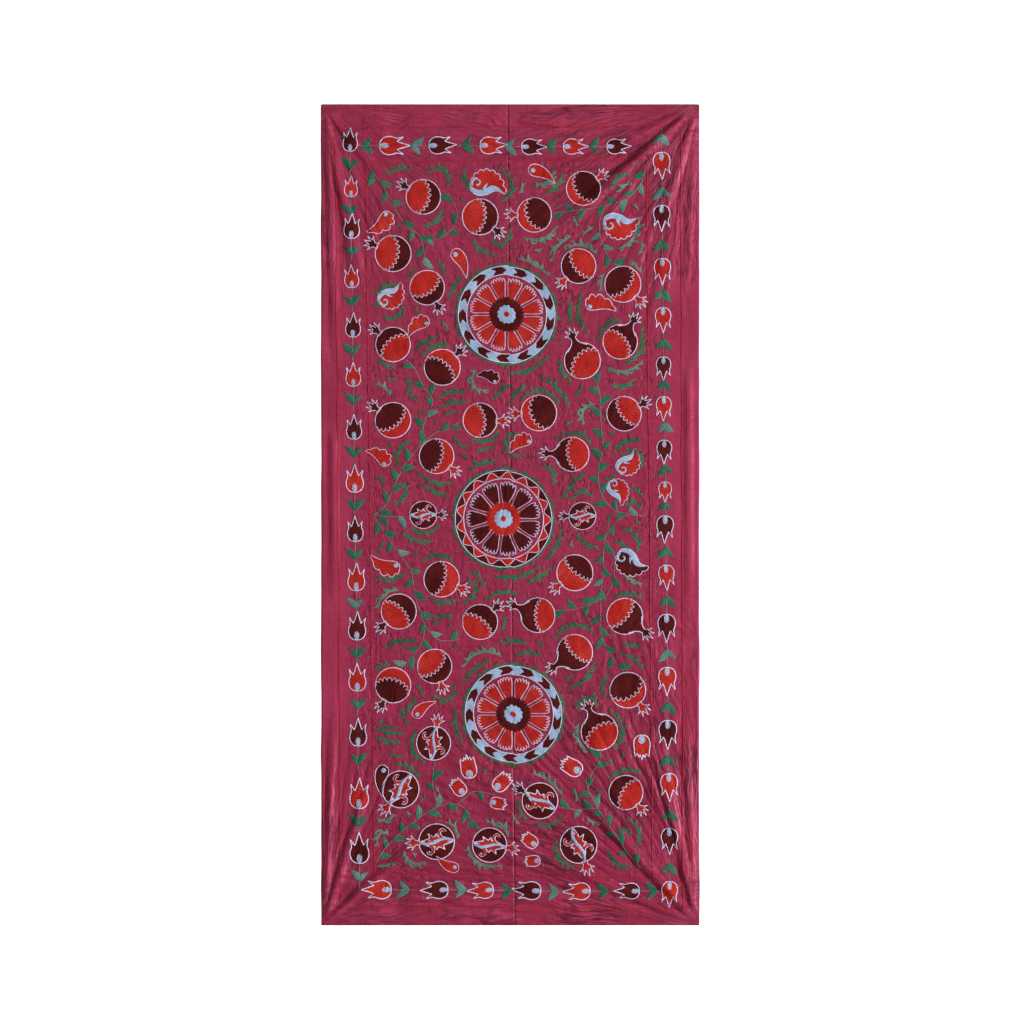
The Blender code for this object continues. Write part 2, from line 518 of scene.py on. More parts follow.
def fan_valleys(tree, place, corner):
    """Thin valleys that fan out from one corner of the cloth and fade with distance."""
    spot = (corner["side_x"] * CLOTH_WIDTH / 2, corner["side_y"] * CLOTH_LENGTH / 2, 0.0)
    off = add_node(tree, "ShaderNodeVectorMath", {0: place, 1: spot}, operation="SUBTRACT").outputs[0]
    split = add_node(tree, "ShaderNodeSeparateXYZ", {"Vector": off})
    bearing = maths(tree, "ARCTAN2", split.outputs[1], split.outputs[0])
    bearing = total(tree, bearing, stretched_noise(tree, place, 90, 90, detail=1.0, shift=41.0), 0.10)
    away = add_node(tree, "ShaderNodeVectorMath", {0: off}, operation="LENGTH").outputs[1]
    fanned = add_node(
        tree, "ShaderNodeCombineXYZ",
        {0: maths(tree, "MULTIPLY", bearing, FAN_FINENESS), 1: maths(tree, "MULTIPLY", away, 9.0)},
    ).outputs[0]
    grains = {"Vector": fanned, "Scale": 1.0, "Detail": 1.5}
    noise = add_node(tree, "ShaderNodeTexNoise", grains).outputs["Fac"]
    fade = between(tree, away, corner["reach"], corner["reach"] * 0.45)
    fade = maths(tree, "MULTIPLY", fade, corner["height"] / MOST_CREASE)
    return maths(tree, "MULTIPLY", valleys(tree, noise, 0.085), fade)


def loomed_silk():
    """Plum-crimson silk, plain weave, hand loomed."""
    finish, tree, shader = new_finish("plum hand-loomed silk")
    place = add_node(tree, "ShaderNodeTexCoord").outputs["Object"]
    cloudy = stretched_noise(tree, place, 120, 200, detail=4.0)
    warp = stretched_noise(tree, place, 4.5, 300, shift=4.0)
    slub = stretched_noise(tree, place, SLUB_LENGTH_MM, SLUB_THICKNESS_MM, shift=9.0)
    soft = stretched_noise(tree, place, 22, 10, detail=3.0, shift=12.0)
    split = add_node(tree, "ShaderNodeSeparateXYZ", {"Vector": place})
    inside = maths(
        tree, "MULTIPLY",
        between(tree, maths(tree, "ABSOLUTE", split.outputs[0]), 0.44, 0.37),
        between(tree, maths(tree, "ABSOLUTE", split.outputs[1]), 1.03, 0.95),
    )
    pressed = 0.0
    for corner in CORNERS:
        pressed = maths(tree, "MAXIMUM", pressed, fan_valleys(tree, place, corner))
    crinkle = valleys(tree, stretched_noise(tree, place, 15, 44, detail=3.0, shift=21.0), 0.045)
    patches = between(tree, stretched_noise(tree, place, 110, 60, shift=31.0), 0.42, 0.60)
    patches = maths(tree, "MULTIPLY", inside, patches)
    pressed = maths(tree, "MAXIMUM", pressed, maths(tree, "MULTIPLY", crinkle, patches))
    tone = mixed(tree, between(tree, cloudy, 0.32, 0.68), colour("#781A33"), colour("#8C2945"))
    tone = mixed(tree, between(tree, warp, 0.50, 0.95), tone, colour("#741D37"))
    tone = mixed(tree, between(tree, slub, 0.66, 0.90), tone, colour("#93324F"))
    # Painted shade: the silk inside the frame is painted darker, standing in for the shade of its puckers.
    tone = mixed(tree, maths(tree, "MULTIPLY", inside, 0.55), tone, colour("#711631"))
    # Painted shade: the valleys of the corner fans and field crinkles are painted dark plum in patches, as
    # the shade inside a crease.
    painted_valley_shade = maths(tree, "MULTIPLY", pressed, between(tree, cloudy, 0.38, 0.56))
    tone = mixed(tree, painted_valley_shade, tone, colour("#3E0818"))
    tree.links.new(tone, shader.inputs["Base Color"])
    roughness = add_node(tree, "ShaderNodeMapRange", {"Value": warp, "To Min": 0.40, "To Max": 0.54})
    tree.links.new(roughness.outputs[0], shader.inputs["Roughness"])
    upright = stretched_noise(tree, place, 7, 48, detail=2.0, shift=51.0)
    relief = total(tree, total(tree, soft, upright, 0.55), pressed, -0.50)
    bump = add_node(tree, "ShaderNodeBump", {"Height": relief, "Strength": 0.7, "Distance": 0.0022})
    tree.links.new(bump.outputs[0], shader.inputs["Normal"])
    shader.inputs["Specular IOR Level"].default_value = 0.42
    shader.inputs["Specular Tint"].default_value = colour("#F0A0B8")
    shader.inputs["Sheen Weight"].default_value = 0.12
    shader.inputs["Sheen Roughness"].default_value = 0.35
    shader.inputs["Sheen Tint"].default_value = colour("#C8587C")
    shader.inputs["IOR"].default_value = 1.50
    return finish


silk = loomed_silk()
for width in (left_width, right_width):
    width.data.materials.append(silk)
print("silk nodes:", len(silk.node_tree.nodes))

# %% [markdown]
# The embroidery is drawn flat first, each motif once, in its own millimetres, and pointing along +Y. Two
# helpers draw outlines. A smooth outline runs through listed points, and a point marked sharp keeps
# its corner, as petal tips do. A path may then be cut to even steps, so that its stitches are even.

# %% Drawing outlines
MM = 0.001


def smooth_path(points, step=2.6, closed=False):
    """A smooth path in metres through points (x, y, sharp) in millimetres."""
    spots = np.array([point[:2] for point in points], float)
    sharp = [len(point) > 2 and point[2] == "sharp" for point in points]
    count = len(points)
    drawn = []
    for index in range(count if closed else count - 1):
        after = (index + 1) % count
        start, end = spots[index], spots[after]
        before = spots[index - 1] if closed or index > 0 else start
        beyond = spots[(index + 2) % count] if closed or index + 2 < count else end
        pull_out = np.zeros(2) if sharp[index] else (end - before) / 2
        pull_in = np.zeros(2) if sharp[after] else (beyond - start) / 2
        pieces = max(1, round(float(np.linalg.norm(end - start)) / step))
        for share in np.arange(pieces) / pieces:
            a, b = share * share, share**3
            drawn.append(
                (2 * b - 3 * a + 1) * start + (b - 2 * a + share) * pull_out
                + (3 * a - 2 * b) * end + (b - a) * pull_in
            )
    drawn.append(spots[0] if closed else spots[-1])
    return np.array(drawn) * MM


def even_path(path, count):
    """The same path in this many even steps."""
    lengths = np.concatenate([[0.0], np.cumsum(np.linalg.norm(np.diff(path, axis=0), axis=1))])
    marks = np.linspace(0.0, lengths[-1], count + 1)
    return np.column_stack([np.interp(marks, lengths, path[:, axis]) for axis in (0, 1)])


def mirrored_points(half):
    """Points of a shape's right side, from the base to the tip, with the left side added."""
    left = [(-point[0], *point[1:]) for point in half[-2:0:-1]]
    return [*half, *left]


def arc(radius, start_degrees, end_degrees, count):
    """An arc round the origin, in metres. 0 degrees is +X."""
    turn = np.radians(np.linspace(start_degrees, end_degrees, count + 1))
    return radius * np.column_stack([np.cos(turn), np.sin(turn)])


print("points on a small arc:", len(arc(0.01, 0, 90, 6)))

# %% [markdown]
# Every bit of stitching is one of two shapes: a line of chain stitch, or an area filled with rows of it.
# Both start as a grid primitive whose points are then moved: a line is a narrow strip that stands up in
# the middle, and a filled area runs from one edge to another and swells a little between them. The
# grid's own UV map is stretched to real millimetres, so that the stitches can follow the shape. What
# closes on itself, or narrows to a point, is merged there.

# %% Stitched pieces
LINE_RISE = 0.0010
FILL_RISE = 0.0008
EDGE_RISE = 0.0002


def stitched(columns, rows, place):
    """A grid primitive whose points are moved to place(along, across), both from 0 to 1."""
    bpy.ops.mesh.primitive_grid_add(x_subdivisions=columns, y_subdivisions=rows, size=1.0)
    piece = bpy.context.object
    grid = points_of(piece.data)
    moved = np.column_stack(place(grid[:, 0] + 0.5, grid[:, 1] + 0.5))
    set_points(piece.data, moved)
    laid = moved.reshape(rows + 1, columns + 1, 3)
    long_mm = np.linalg.norm(np.diff(laid, axis=1), axis=2).sum(axis=1).mean() / MM
    wide_mm = np.linalg.norm(np.diff(laid, axis=0), axis=2).sum(axis=0).mean() / MM
    uv = np.empty(len(piece.data.loops) * 2, np.float32)
    piece.data.uv_layers[0].data.foreach_get("uv", uv)
    piece.data.uv_layers[0].data.foreach_set("uv", uv * np.tile([long_mm, wide_mm], len(uv) // 2))
    bpy.ops.object.mode_set(mode="EDIT")
    bpy.ops.mesh.select_all(action="SELECT")
    bpy.ops.mesh.remove_doubles(threshold=0.00001)
    bpy.ops.object.mode_set(mode="OBJECT")
    up = sum(face.normal.z * face.area for face in piece.data.polygons)
    if up < 0:
        piece.data.flip_normals()
    piece.data.shade_smooth()
    piece.users_collection[0].objects.unlink(piece)
    return piece


def sides_of(path):
    """The direction to the left of a path at each of its points."""
    run = np.gradient(path, axis=0)
    if np.allclose(path[0], path[-1]):
        run[0] = run[-1] = path[1] - path[-2]
    run /= np.maximum(np.linalg.norm(run, axis=1), 1e-9)[:, None]
    return np.column_stack([-run[:, 1], run[:, 0]])


def chain_line(path, width=3.0, rise=LINE_RISE, base=EDGE_RISE):
    """A line of chain stitch. width in millimetres is one number, or one for each point."""
    sides = sides_of(path)
    half = np.broadcast_to(np.asarray(width, float) * MM / 2, len(path))

    def place(along, across):
        index = np.round(along * (len(path) - 1)).astype(int)
        spread = (across - 0.5)[:, None] * 2 * half[index][:, None] * sides[index]
        height = base + rise * (1 - (2 * across - 1) ** 2)
        return (*(path[index] + spread).T, height)

    return stitched(len(path) - 1, 2, place)


def filled(edge, other_edge, rows=4, rise=FILL_RISE):
    """An area filled with rows of stitches between two edges of equal point counts."""
    def place(along, across):
        index = np.round(along * (len(edge) - 1)).astype(int)
        spots = edge[index] * (1 - across)[:, None] + other_edge[index] * across[:, None]
        height = EDGE_RISE + rise * (1 - (2 * across - 1) ** 4)
        return (*spots.T, height)

    return stitched(len(edge) - 1, rows, place)


def filled_round(outline, centre=(0.0, 0.0), rows=5, rise=FILL_RISE):
    """An area filled with rings of stitches from its outline to its centre."""
    middle = np.broadcast_to(np.array(centre) * MM, outline.shape)

    def place(along, across):
        index = np.round(along * (len(outline) - 1)).astype(int)
        spots = outline[index] * (1 - across)[:, None] + middle[index] * across[:, None]
        height = EDGE_RISE + rise * np.minimum(across * 4, 1.0)
        return (*spots.T, height)

    return stitched(len(outline) - 1, rows, place)


trial = chain_line(arc(0.02, 0, 360, 30))
print("trial ring points:", len(trial.data.vertices))

# %% [markdown]
# The pomegranates carry the design. Each is a disc about 94 mm across, split by a scalloped line into a
# red and a maroon part, with a crown of five points. The crown is its own motif, because it looks
# another way than the split does. Crescent means the part past the scalloped line, toward +Y.

# %% Pomegranates
FRUIT_RADIUS = 0.0462
SPLIT_SPREAD = 115
SPLIT_SHIFT = 0.10
TOOTH_HEIGHT = 0.0098
OUTLINE = "lilac"


def scalloped_split(teeth, bulge):
    """The scalloped line across a fruit. bulge tells how far past the centre it runs, in radii."""
    count = teeth * 8
    share = np.linspace(0.0, 1.0, count + 1)
    spread = math.radians(SPLIT_SPREAD)
    end_x = FRUIT_RADIUS * math.sin(spread)
    end_y = FRUIT_RADIUS * math.cos(spread)
    swing = np.radians(180 * share)
    top_y = (bulge + SPLIT_SHIFT) * FRUIT_RADIUS
    base = np.column_stack([end_x * np.cos(swing), end_y + (top_y - end_y) * np.sin(swing)])
    tooth = np.abs(np.sin(math.pi * teeth * share)) ** 0.85
    inside = 1 - np.abs(2 * share - 1) ** 6
    return base - sides_of(base) * (TOOTH_HEIGHT * tooth * inside)[:, None]


def fruit_body(disc, crescent, teeth, bulge):
    """The round body of a pomegranate in two threads."""
    split = scalloped_split(teeth, bulge)
    count = len(split) - 1
    near = arc(FRUIT_RADIUS, 90 - SPLIT_SPREAD, 90 + SPLIT_SPREAD, count)
    far = arc(FRUIT_RADIUS, 90 - SPLIT_SPREAD, 90 + SPLIT_SPREAD - 360, count)
    return [
        (crescent, filled(near, split, rows=6)),
        (disc, filled(far, split, rows=8)),
        (OUTLINE, chain_line(arc(FRUIT_RADIUS, 0, 360, 84), width=2.8)),
        (OUTLINE, chain_line(split, width=2.1)),
    ]


CROWN_HALF = [
    (0, -3), (7.5, -3, "sharp"), (5.5, 5), (9, 11), (20, 19, "sharp"), (9.0, 16, "sharp"),
    (13, 32, "sharp"), (4.6, 19, "sharp"), (0, 37, "sharp"),
]


def crown(thread):
    """The crown at a fruit's tip."""
    outline = smooth_path(mirrored_points(CROWN_HALF), closed=True)
    shift = np.array([0.0, FRUIT_RADIUS])
    return [
        (thread, filled_round(outline + shift, (0.0, FRUIT_RADIUS / MM + 9), rows=3)),
        (OUTLINE, chain_line(outline + shift, width=2.3)),
    ]


NECK_HALF = [(27, 34), (15, 44), (8, 53), (6.5, 60)]


def neck(thread):
    """The tapering neck that some fruits have below their crown."""
    right = smooth_path(NECK_HALF)
    left = right * (-1, 1)
    return [
        (thread, filled(left, right, rows=5, rise=0.0021)),
        (OUTLINE, chain_line(left, width=2.6, base=0.0008)),
        (OUTLINE, chain_line(right, width=2.6, base=0.0008)),
    ]


print("crown parts:", [part[0] for part in crown("red")])

# %% [markdown]
# Leaves are green spindles, set in pairs on a thin stalk. Rows of stitches run along them.

# %% Leaves
def spindle(length, half_width, bow=0.0, fullest=0.5):
    """The two edges of a leaf that starts at the origin and points along +Y, in metres."""
    count = 12
    share = np.linspace(0.0, 1.0, count + 1)
    power = math.log(0.5) / math.log(fullest)
    half = half_width * np.sin(math.pi * share**power) ** 0.85
    middle = np.column_stack([bow * np.sin(math.pi * share), length * share])
    out = np.column_stack([half, np.zeros_like(half)])
    return middle - out, middle + out


def turned(path, degrees, origin=(0.0, 0.0)):
    """A path turned round the origin and moved."""
    cos, sin = math.cos(math.radians(degrees)), math.sin(math.radians(degrees))
    x, y = path[:, 0], path[:, 1]
    return np.column_stack([x * cos - y * sin, x * sin + y * cos]) + origin


LEAF_FULLEST = 0.45


def leaf(thread, length, half_width, degrees, bow):
    """One leaf that starts at the origin."""
    left, right = (turned(edge, degrees) for edge in spindle(length, half_width, bow, LEAF_FULLEST))
    return (thread, filled(left, right, rows=3, rise=0.0009))


def leaf_pair(thread):
    """Two leaves that spread from the origin, the left one a little larger, with their stalk between."""
    return [
        leaf(thread, 0.037, 0.0080, 38, bow=0.003),
        leaf(thread, 0.032, 0.0066, -40, bow=-0.003),
    ]


print("leaf pair parts:", len(leaf_pair("green")))

# %% [markdown]
# Some pomegranates are shown cut open: a maroon disc with a pale S-shaped band across it, and red
# leaves that curl away from the band on both sides.

# %% Cut pomegranates
def band_path(count):
    """The middle of the S-shaped band, from the stalk to the crown."""
    share = np.linspace(0.0, 1.0, count + 1)
    y = (2 * share - 1) * FRUIT_RADIUS * 0.97
    x = 0.006 * np.sin(2 * math.pi * share) + 0.001
    return np.column_stack([x, y])


def curl(start, heading_degrees, length, turn_degrees, count=12):
    """A path that starts out straight and curls in on itself."""
    share = (np.arange(count) + 0.5) / count
    bend = share**0.8 + 0.25
    headings = math.radians(heading_degrees) + math.radians(turn_degrees) * np.cumsum(bend) / bend.sum()
    steps = length / count * np.column_stack([np.cos(headings), np.sin(headings)])
    return np.vstack([[start], start + np.cumsum(steps, axis=0)])


# The red plume to the right of the band and its hook, in mm. The left ones are turned by half a turn.
PLUME = [
    (0, -43, "sharp"), (7, -29), (11, -20), (12, -6), (21, 0, "sharp"), (13, 6), (21, 21, "sharp"),
    (10, 18), (6, 29), (1, 43, "sharp"), (-3, 15), (-3, -15),
]
PLUME_HOOK = [(7, -17), (14, -11), (23, -9), (30, -14), (29, -21), (24, -23)]


def cut_fruit_body():
    """The body of a pomegranate cut open."""
    count = 40
    share = np.linspace(0.0, 1.0, count + 1)
    spine = band_path(count)
    sides = sides_of(spine)
    half = (0.0010 + 0.0058 * np.sin(math.pi * share) ** 0.8)[:, None]
    parts = [
        ("maroon", filled_round(arc(FRUIT_RADIUS, 0, 360, 84), rows=9)),
        (OUTLINE, chain_line(arc(FRUIT_RADIUS, 0, 360, 84), width=2.8)),
    ]
    plume = smooth_path(PLUME, closed=True)
    curved = smooth_path(PLUME_HOOK, step=2.2)
    widths = np.interp(np.linspace(0, 1, len(curved)), (0, 0.3, 0.8, 1), (8.0, 5.2, 4.6, 5.4))
    for turn in (0, 180):
        outline = turned(plume, turn)
        hook = turned(curved, turn)
        centre = turned(np.array([[5, -2]]), turn)[0]
        parts.append((OUTLINE, chain_line(hook, width=widths + 3.2, base=0.0010)))
        parts.append((OUTLINE, chain_line(outline, width=3.6, base=0.0008)))
        parts.append(("red", filled_round(outline, centre, rows=3, rise=0.0020)))
        parts.append(("red", chain_line(hook, width=widths, base=0.0018)))
    rim = sides * (half + 0.0012)
    parts.append((OUTLINE, filled(spine + rim, spine - rim, rows=2, rise=0.0024)))
    parts.append(("sky", filled(spine + sides * half, spine - sides * half, rows=3, rise=0.0032)))
    return parts


print("cut fruit parts:", len(cut_fruit_body()))

# %% [markdown]
# Tulips stand in a row all round the border, and a few shorter ones grow in the lower field. Each has
# rounded cheeks, two side tips and a long middle petal, with a pale oval at its base.

# %% Tulips
TULIP_HALF = [
    (0, 0), (9, 1.2), (16.5, 7), (20.5, 17), (20, 28), (17, 38), (19.5, 53, "sharp"), (10, 39, "sharp"),
    (6.5, 47), (0, 68, "sharp"),
]
SHORT_TULIP_HALF = [
    (0, 0), (8, 1.2), (14, 7), (16.5, 17), (15.5, 29), (14.5, 43, "sharp"), (9, 37, "sharp"),
    (6, 45, "sharp"), (3, 39, "sharp"), (0, 50, "sharp"),
]


def oval(centre_y, half_width, half_height, count=22):
    """An upright ellipse, in metres from millimetres."""
    turn = np.linspace(0.0, 2 * math.pi, count + 1)
    return np.column_stack([half_width * np.sin(turn), centre_y + half_height * np.cos(turn)]) * MM


def tulip(thread, half=TULIP_HALF, eye=(10.5, 5.2, 9.0), centre_y=20):
    """A tulip that stands on the origin."""
    outline = smooth_path(mirrored_points(half), closed=True)
    return [
        (thread, filled_round(outline, (0.0, centre_y), rows=6)),
        (OUTLINE, chain_line(outline, width=2.8)),
        ("sky", filled_round(oval(*eye), (0.0, eye[0]), rows=3, rise=0.0013)),
        (OUTLINE, chain_line(oval(*eye), width=1.5, base=0.0008)),
    ]


print("tulip parts:", len(tulip("red")))

# %% [markdown]
# Tendrils and rims carry small hooked leaves, each shadowed by a fine red line on the outside of its
# bend. Three kinds are modelled for a stem that runs along +X, on the stem's left: a claw that tapers, a
# curl that ends in a knob, and a spur.

# %% Hooked leaves
HOOK_COLUMNS = ("kind", "heading", "length", "turn", "widths")
HOOK_ROWS = (
    ("claw", 16, 24.0, 70, (9.0, 9.6, 5.4, 1.4)),
    ("curl", 84, 27.0, -190, (10.0, 7.4, 4.2, 6.4)),
    ("spur", 30, 20.0, 26, (7.0, 7.2, 4.4, 1.0)),
)
HOOKS = [dict(zip(HOOK_COLUMNS, row)) for row in HOOK_ROWS]
SHADOW_GAP = 0.0050


def hooked_leaf(thread, hook):
    """A small leaf to the left of a stem along +X, and its red shadow line."""
    path = curl(np.zeros(2), hook["heading"], hook["length"] * MM, hook["turn"], count=7)
    widths = np.interp(np.linspace(0, 1, len(path)), (0, 0.35, 0.7, 1), hook["widths"])
    outside = 1 if hook["turn"] < 0 else -1
    shadow = (path + outside * sides_of(path) * SHADOW_GAP)[1:]
    return [
        (thread, chain_line(path, width=widths, rise=0.0010)),
        ("shade_red", chain_line(shadow, width=1.5, rise=0.0005)),
    ]


hook_models = {
    (thread, hook["kind"]): hooked_leaf(thread, hook) for thread in ("green", "sage") for hook in HOOKS
}
print("hooked leaves:", sorted(hook_models))

# %% [markdown]
# Between the fruits float buds and drops shaped like paisley leaves. A shell bud is a scalloped fan over
# a pale curl. An eyed bud and a drop are built on a curved spine: the bud has lobes along one side,
# and the drop has two smooth edges.

# %% Buds and drops
def spined(spine, left_half, right_half):
    """The two edges on both sides of a spine."""
    sides = sides_of(spine)
    return spine + sides * left_half[:, None], spine - sides * right_half[:, None]


def shell_bud(thread, scallops=8):
    """A scalloped fan over a pale curl, with its tip toward +Y and the fan on the left."""
    count = scallops * 7
    share = np.linspace(0.0, 1.0, count + 1)
    bearing = np.radians(184 - 190 * share)
    reach = 1.0 - 0.15 * (1 - np.abs(np.sin(scallops * math.pi * share)) ** 0.75)
    fan = np.column_stack([1 + 44 * reach * np.cos(bearing), -8 + 42 * reach * np.sin(bearing)]) * MM
    tip = np.array([0.052, -0.022])
    fan += (share**6)[:, None] * (tip - fan[-1])
    middle = even_path(
        smooth_path([(-43, -11), (-34, -22), (-16, -26), (0, -19), (14, -8), (32, -9), (52, -22)]), count
    )
    lower = even_path(
        smooth_path([(-43, -11), (-38, -30), (-18, -40), (6, -34), (28, -19), (52, -22)]), count
    )
    hook = smooth_path([(-38, -18), (-38, -6), (-29, 2), (-19, -2), (-18, -11), (-25, -14)], step=2.4)
    spike = smooth_path([(-3, -22), (-1, -12), (4, -3)], step=2.4)
    fan, middle, lower, hook, spike = (turned(path, 90) for path in (fan, middle, lower, hook, spike))
    hook_widths = np.interp(np.linspace(0, 1, len(hook)), (0, 0.5, 0.85, 1), (8.0, 5.2, 4.4, 5.0))
    spike_widths = np.interp(np.linspace(0, 1, len(spike)), (0, 1), (10.0, 0.8))
    return [
        (thread, filled(fan, middle, rows=6)),
        ("sky", filled(middle, lower, rows=4, rise=0.0012)),
        ("sky", chain_line(hook, width=hook_widths, base=0.0011)),
        ("sky", chain_line(spike, width=spike_widths, base=0.0010)),
        (OUTLINE, chain_line(fan, width=2.4)),
        (OUTLINE, chain_line(lower, width=2.4)),
    ]


def eyed_bud(thread, lobes=4.5, length=0.078):
    """A flame-shaped bud with a pale eye in its head, lobes on its left and its tip toward +Y."""
    count = 48
    share = np.linspace(0.0, 1.0, count + 1)
    x = -0.004 * np.sin(math.pi * share) + 0.022 * share**3
    spine = np.column_stack([x, length * (share - 0.42)])
    body = np.sin(math.pi * share**0.60) ** 0.8
    wave = 0.62 + 0.38 * np.abs(np.sin(lobes * math.pi * share**0.8)) ** 0.7
    left, right = spined(spine, 0.0300 * body * wave + 0.0002, 0.0135 * body + 0.0002)
    return [
        (thread, filled(left, right, rows=6)),
        (OUTLINE, chain_line(left, width=2.3)),
        (OUTLINE, chain_line(right, width=2.3)),
        ("sky", filled_round(oval(-23, 6.5, 7.5), (0.0, -23), rows=3, rise=0.0014)),
    ]


def drop(thread, length=0.082):
    """A paisley drop with its head at the origin and its tip bent to the right."""
    count = 30
    share = np.linspace(0.0, 1.0, count + 1)
    x = -0.004 * np.sin(math.pi * share) + 0.020 * share**2.5
    spine = np.column_stack([x, length * (share - 0.30)])
    body = 0.0168 * np.sin(math.pi * share**0.52) ** 0.9 + 0.0002
    left, right = spined(spine, body, body)
    return [
        (thread, filled(left, right, rows=6)),
        (OUTLINE, chain_line(left, width=2.3)),
        (OUTLINE, chain_line(right, width=2.3)),
        ("sky", filled_round(oval(-11, 7.5, 8.0), (0.0, -11), rows=3, rise=0.0014)),
    ]


print("bud parts:", len(shell_bud("red")), len(eyed_bud("red")), "drop parts:", len(drop("red")))

# %% [markdown]
# Three rosettes stand on the seam. From the rim in, each has a green vine with small curls, a patterned
# band, a ring of bare silk, fan-shaped petals with scalloped ends, a serrated ring, and a pale scalloped
# eye with a red dot. The end rosettes have a band of chevrons, and the middle one a wavy band.

# %% Rosettes
VINE_RADIUS = 0.1315
RIM_RADIUS = 0.1278
BAND_RADIUS = 0.1055
PETAL_RADIUS = 0.0985
SERRATED_RADIUS = 0.0460
EYE_RADIUS = 0.0250
DOT_RADIUS = 0.0095
RIM_HOOK_SCALE = 0.72


def ripple_ring(radius, depth, lobes, count, power=0.7):
    """A closed ring with rounded lobes."""
    turn = np.linspace(0.0, 2 * math.pi, count + 1)
    reach = radius - depth * (1 - np.abs(np.sin(lobes * turn / 2)) ** power)
    return np.column_stack([reach * np.cos(turn), reach * np.sin(turn)])


def turned_parts(parts, degrees, origin=(0.0, 0.0), scale=1.0):
    """Copies of motif parts, turned and moved, each with its own mesh."""
    copies = []
    for thread, piece in parts:
        copy = bpy.data.objects.new(piece.name, piece.data.copy())
        points = points_of(copy.data)
        points[:, :2] = turned(points[:, :2] * scale, degrees, origin)
        set_points(copy.data, points)
        copies.append((thread, copy))
    return copies


def rim_vine():
    """The green ring of a rosette and the hooked leaves that sprout from it."""
    parts = [("green", chain_line(arc(VINE_RADIUS, 0, 360, 180), width=4.4))]
    sprouts = 26
    for index in range(sprouts):
        bearing = 360 * index / sprouts + 4 * math.sin(index * 2.4)
        kind = ("claw", "curl", "claw", "spur", "curl")[index % 5]
        root = arc(VINE_RADIUS, bearing, bearing, 1)[0]
        parts += turned_parts(hook_models["green", kind], bearing - 90, root, RIM_HOOK_SCALE)
    return parts


def chevron_band(tiles=13):
    """Pairs of maroon and pale tiles with arrow-shaped ends."""
    parts = []
    across = np.linspace(-1.0, 1.0, 7)
    radii = (RIM_RADIUS + BAND_RADIUS) / 2 + across * (RIM_RADIUS - BAND_RADIUS) / 2
    arrow = 7.0 * (1 - np.abs(across))
    for index in range(tiles * 2):
        bearing = -360 * index / (tiles * 2)
        width = 360 / (tiles * 2)
        start = np.radians(bearing - arrow)
        end = np.radians(bearing - arrow - width)
        first = np.column_stack([radii * np.cos(start), radii * np.sin(start)])
        last = np.column_stack([radii * np.cos(end), radii * np.sin(end)])
        parts.append(("sky" if index % 2 else "maroon", filled(first, last, rows=8, rise=0.0005)))
    return parts


def wavy_band(waves=17):
    """A wave of red on maroon with a pale line between them."""
    count = waves * 14
    turn = np.linspace(0.0, 2 * math.pi, count + 1)
    reach = (RIM_RADIUS + BAND_RADIUS) / 2 + 0.0078 * np.cos(waves * turn)
    wave = np.column_stack([reach * np.cos(turn), reach * np.sin(turn)])
    return [
        ("maroon", filled(arc(RIM_RADIUS, 0, 360, count), wave, rows=3)),
        ("red", filled(wave, arc(BAND_RADIUS, 0, 360, count), rows=3)),
        (OUTLINE, chain_line(wave, width=2.4)),
    ]


def fan_petal(thread, petals, lobes=5):
    """One petal, its middle along +X, fanning out from the serrated ring."""
    half_turn = 180 / petals - 2.2
    inner, outer = SERRATED_RADIUS - 0.004, PETAL_RADIUS
    count = lobes * 6
    share = np.linspace(-1.0, 1.0, count + 1)
    bearing = np.radians(half_turn * share * 0.98)
    depth = 0.0105 * (1 - np.abs(np.sin(lobes * math.pi * (share + 1) / 2)) ** 0.7) + 0.005 * share**2
    reach = outer - depth
    far = np.column_stack([reach * np.cos(bearing), reach * np.sin(bearing)])
    narrow = np.radians(half_turn * share * 0.72)
    near = np.column_stack([inner * np.cos(narrow), inner * np.sin(narrow)])
    edge = np.vstack([near[:1], even_path(np.vstack([near[0], far[0]]), 10), far[1:-1]])
    edge = np.vstack([edge, even_path(np.vstack([far[-1], near[-1]]), 10)])
    return [(thread, filled(near, far, rows=10)), (OUTLINE, chain_line(edge[1:], width=2.2))]


def rosette(petal_thread, serrated_thread, band_parts, petals=12):
    """A whole rosette round the origin."""
    serrated = ripple_ring(SERRATED_RADIUS + 0.004, 0.0090, 24, 24 * 8, power=1.0)
    eye = ripple_ring(EYE_RADIUS, 0.0036, 12, 12 * 8)
    dot = arc(DOT_RADIUS, 0, 360, 24)
    parts = [*rim_vine(), *band_parts]
    parts.append((OUTLINE, chain_line(arc(RIM_RADIUS, 0, 360, 200), width=2.6, base=0.0006)))
    parts.append((OUTLINE, chain_line(arc(BAND_RADIUS, 0, 360, 180), width=2.6, base=0.0006)))
    petal = fan_petal(petal_thread, petals)
    for index in range(petals):
        parts += turned_parts(petal, 360 * (index + 0.5) / petals)
    eye_edge = ripple_ring(EYE_RADIUS, 0.0036, 12, 24 * 8)
    parts.append((serrated_thread, filled(serrated, eye_edge, rows=5, rise=0.0012)))
    parts.append(("sky", filled_round(eye, rows=6, rise=0.0012)))
    parts.append(("red", filled_round(dot, rows=3, rise=0.0018)))
    return parts


print("rosette parts:", len(rosette("red", "maroon", chevron_band())))

# %% [markdown]
# Sewing a motif on means copying its pieces, each with its own mesh, turning and moving them, and
# keeping the copies in a basket for their thread. The right width was embroidered apart from the left
# one and sewn on slightly low, so whatever crosses the seam has a small jog there.

# %% Sewing motifs on
SEAM_JOG = -0.0030
baskets = {}


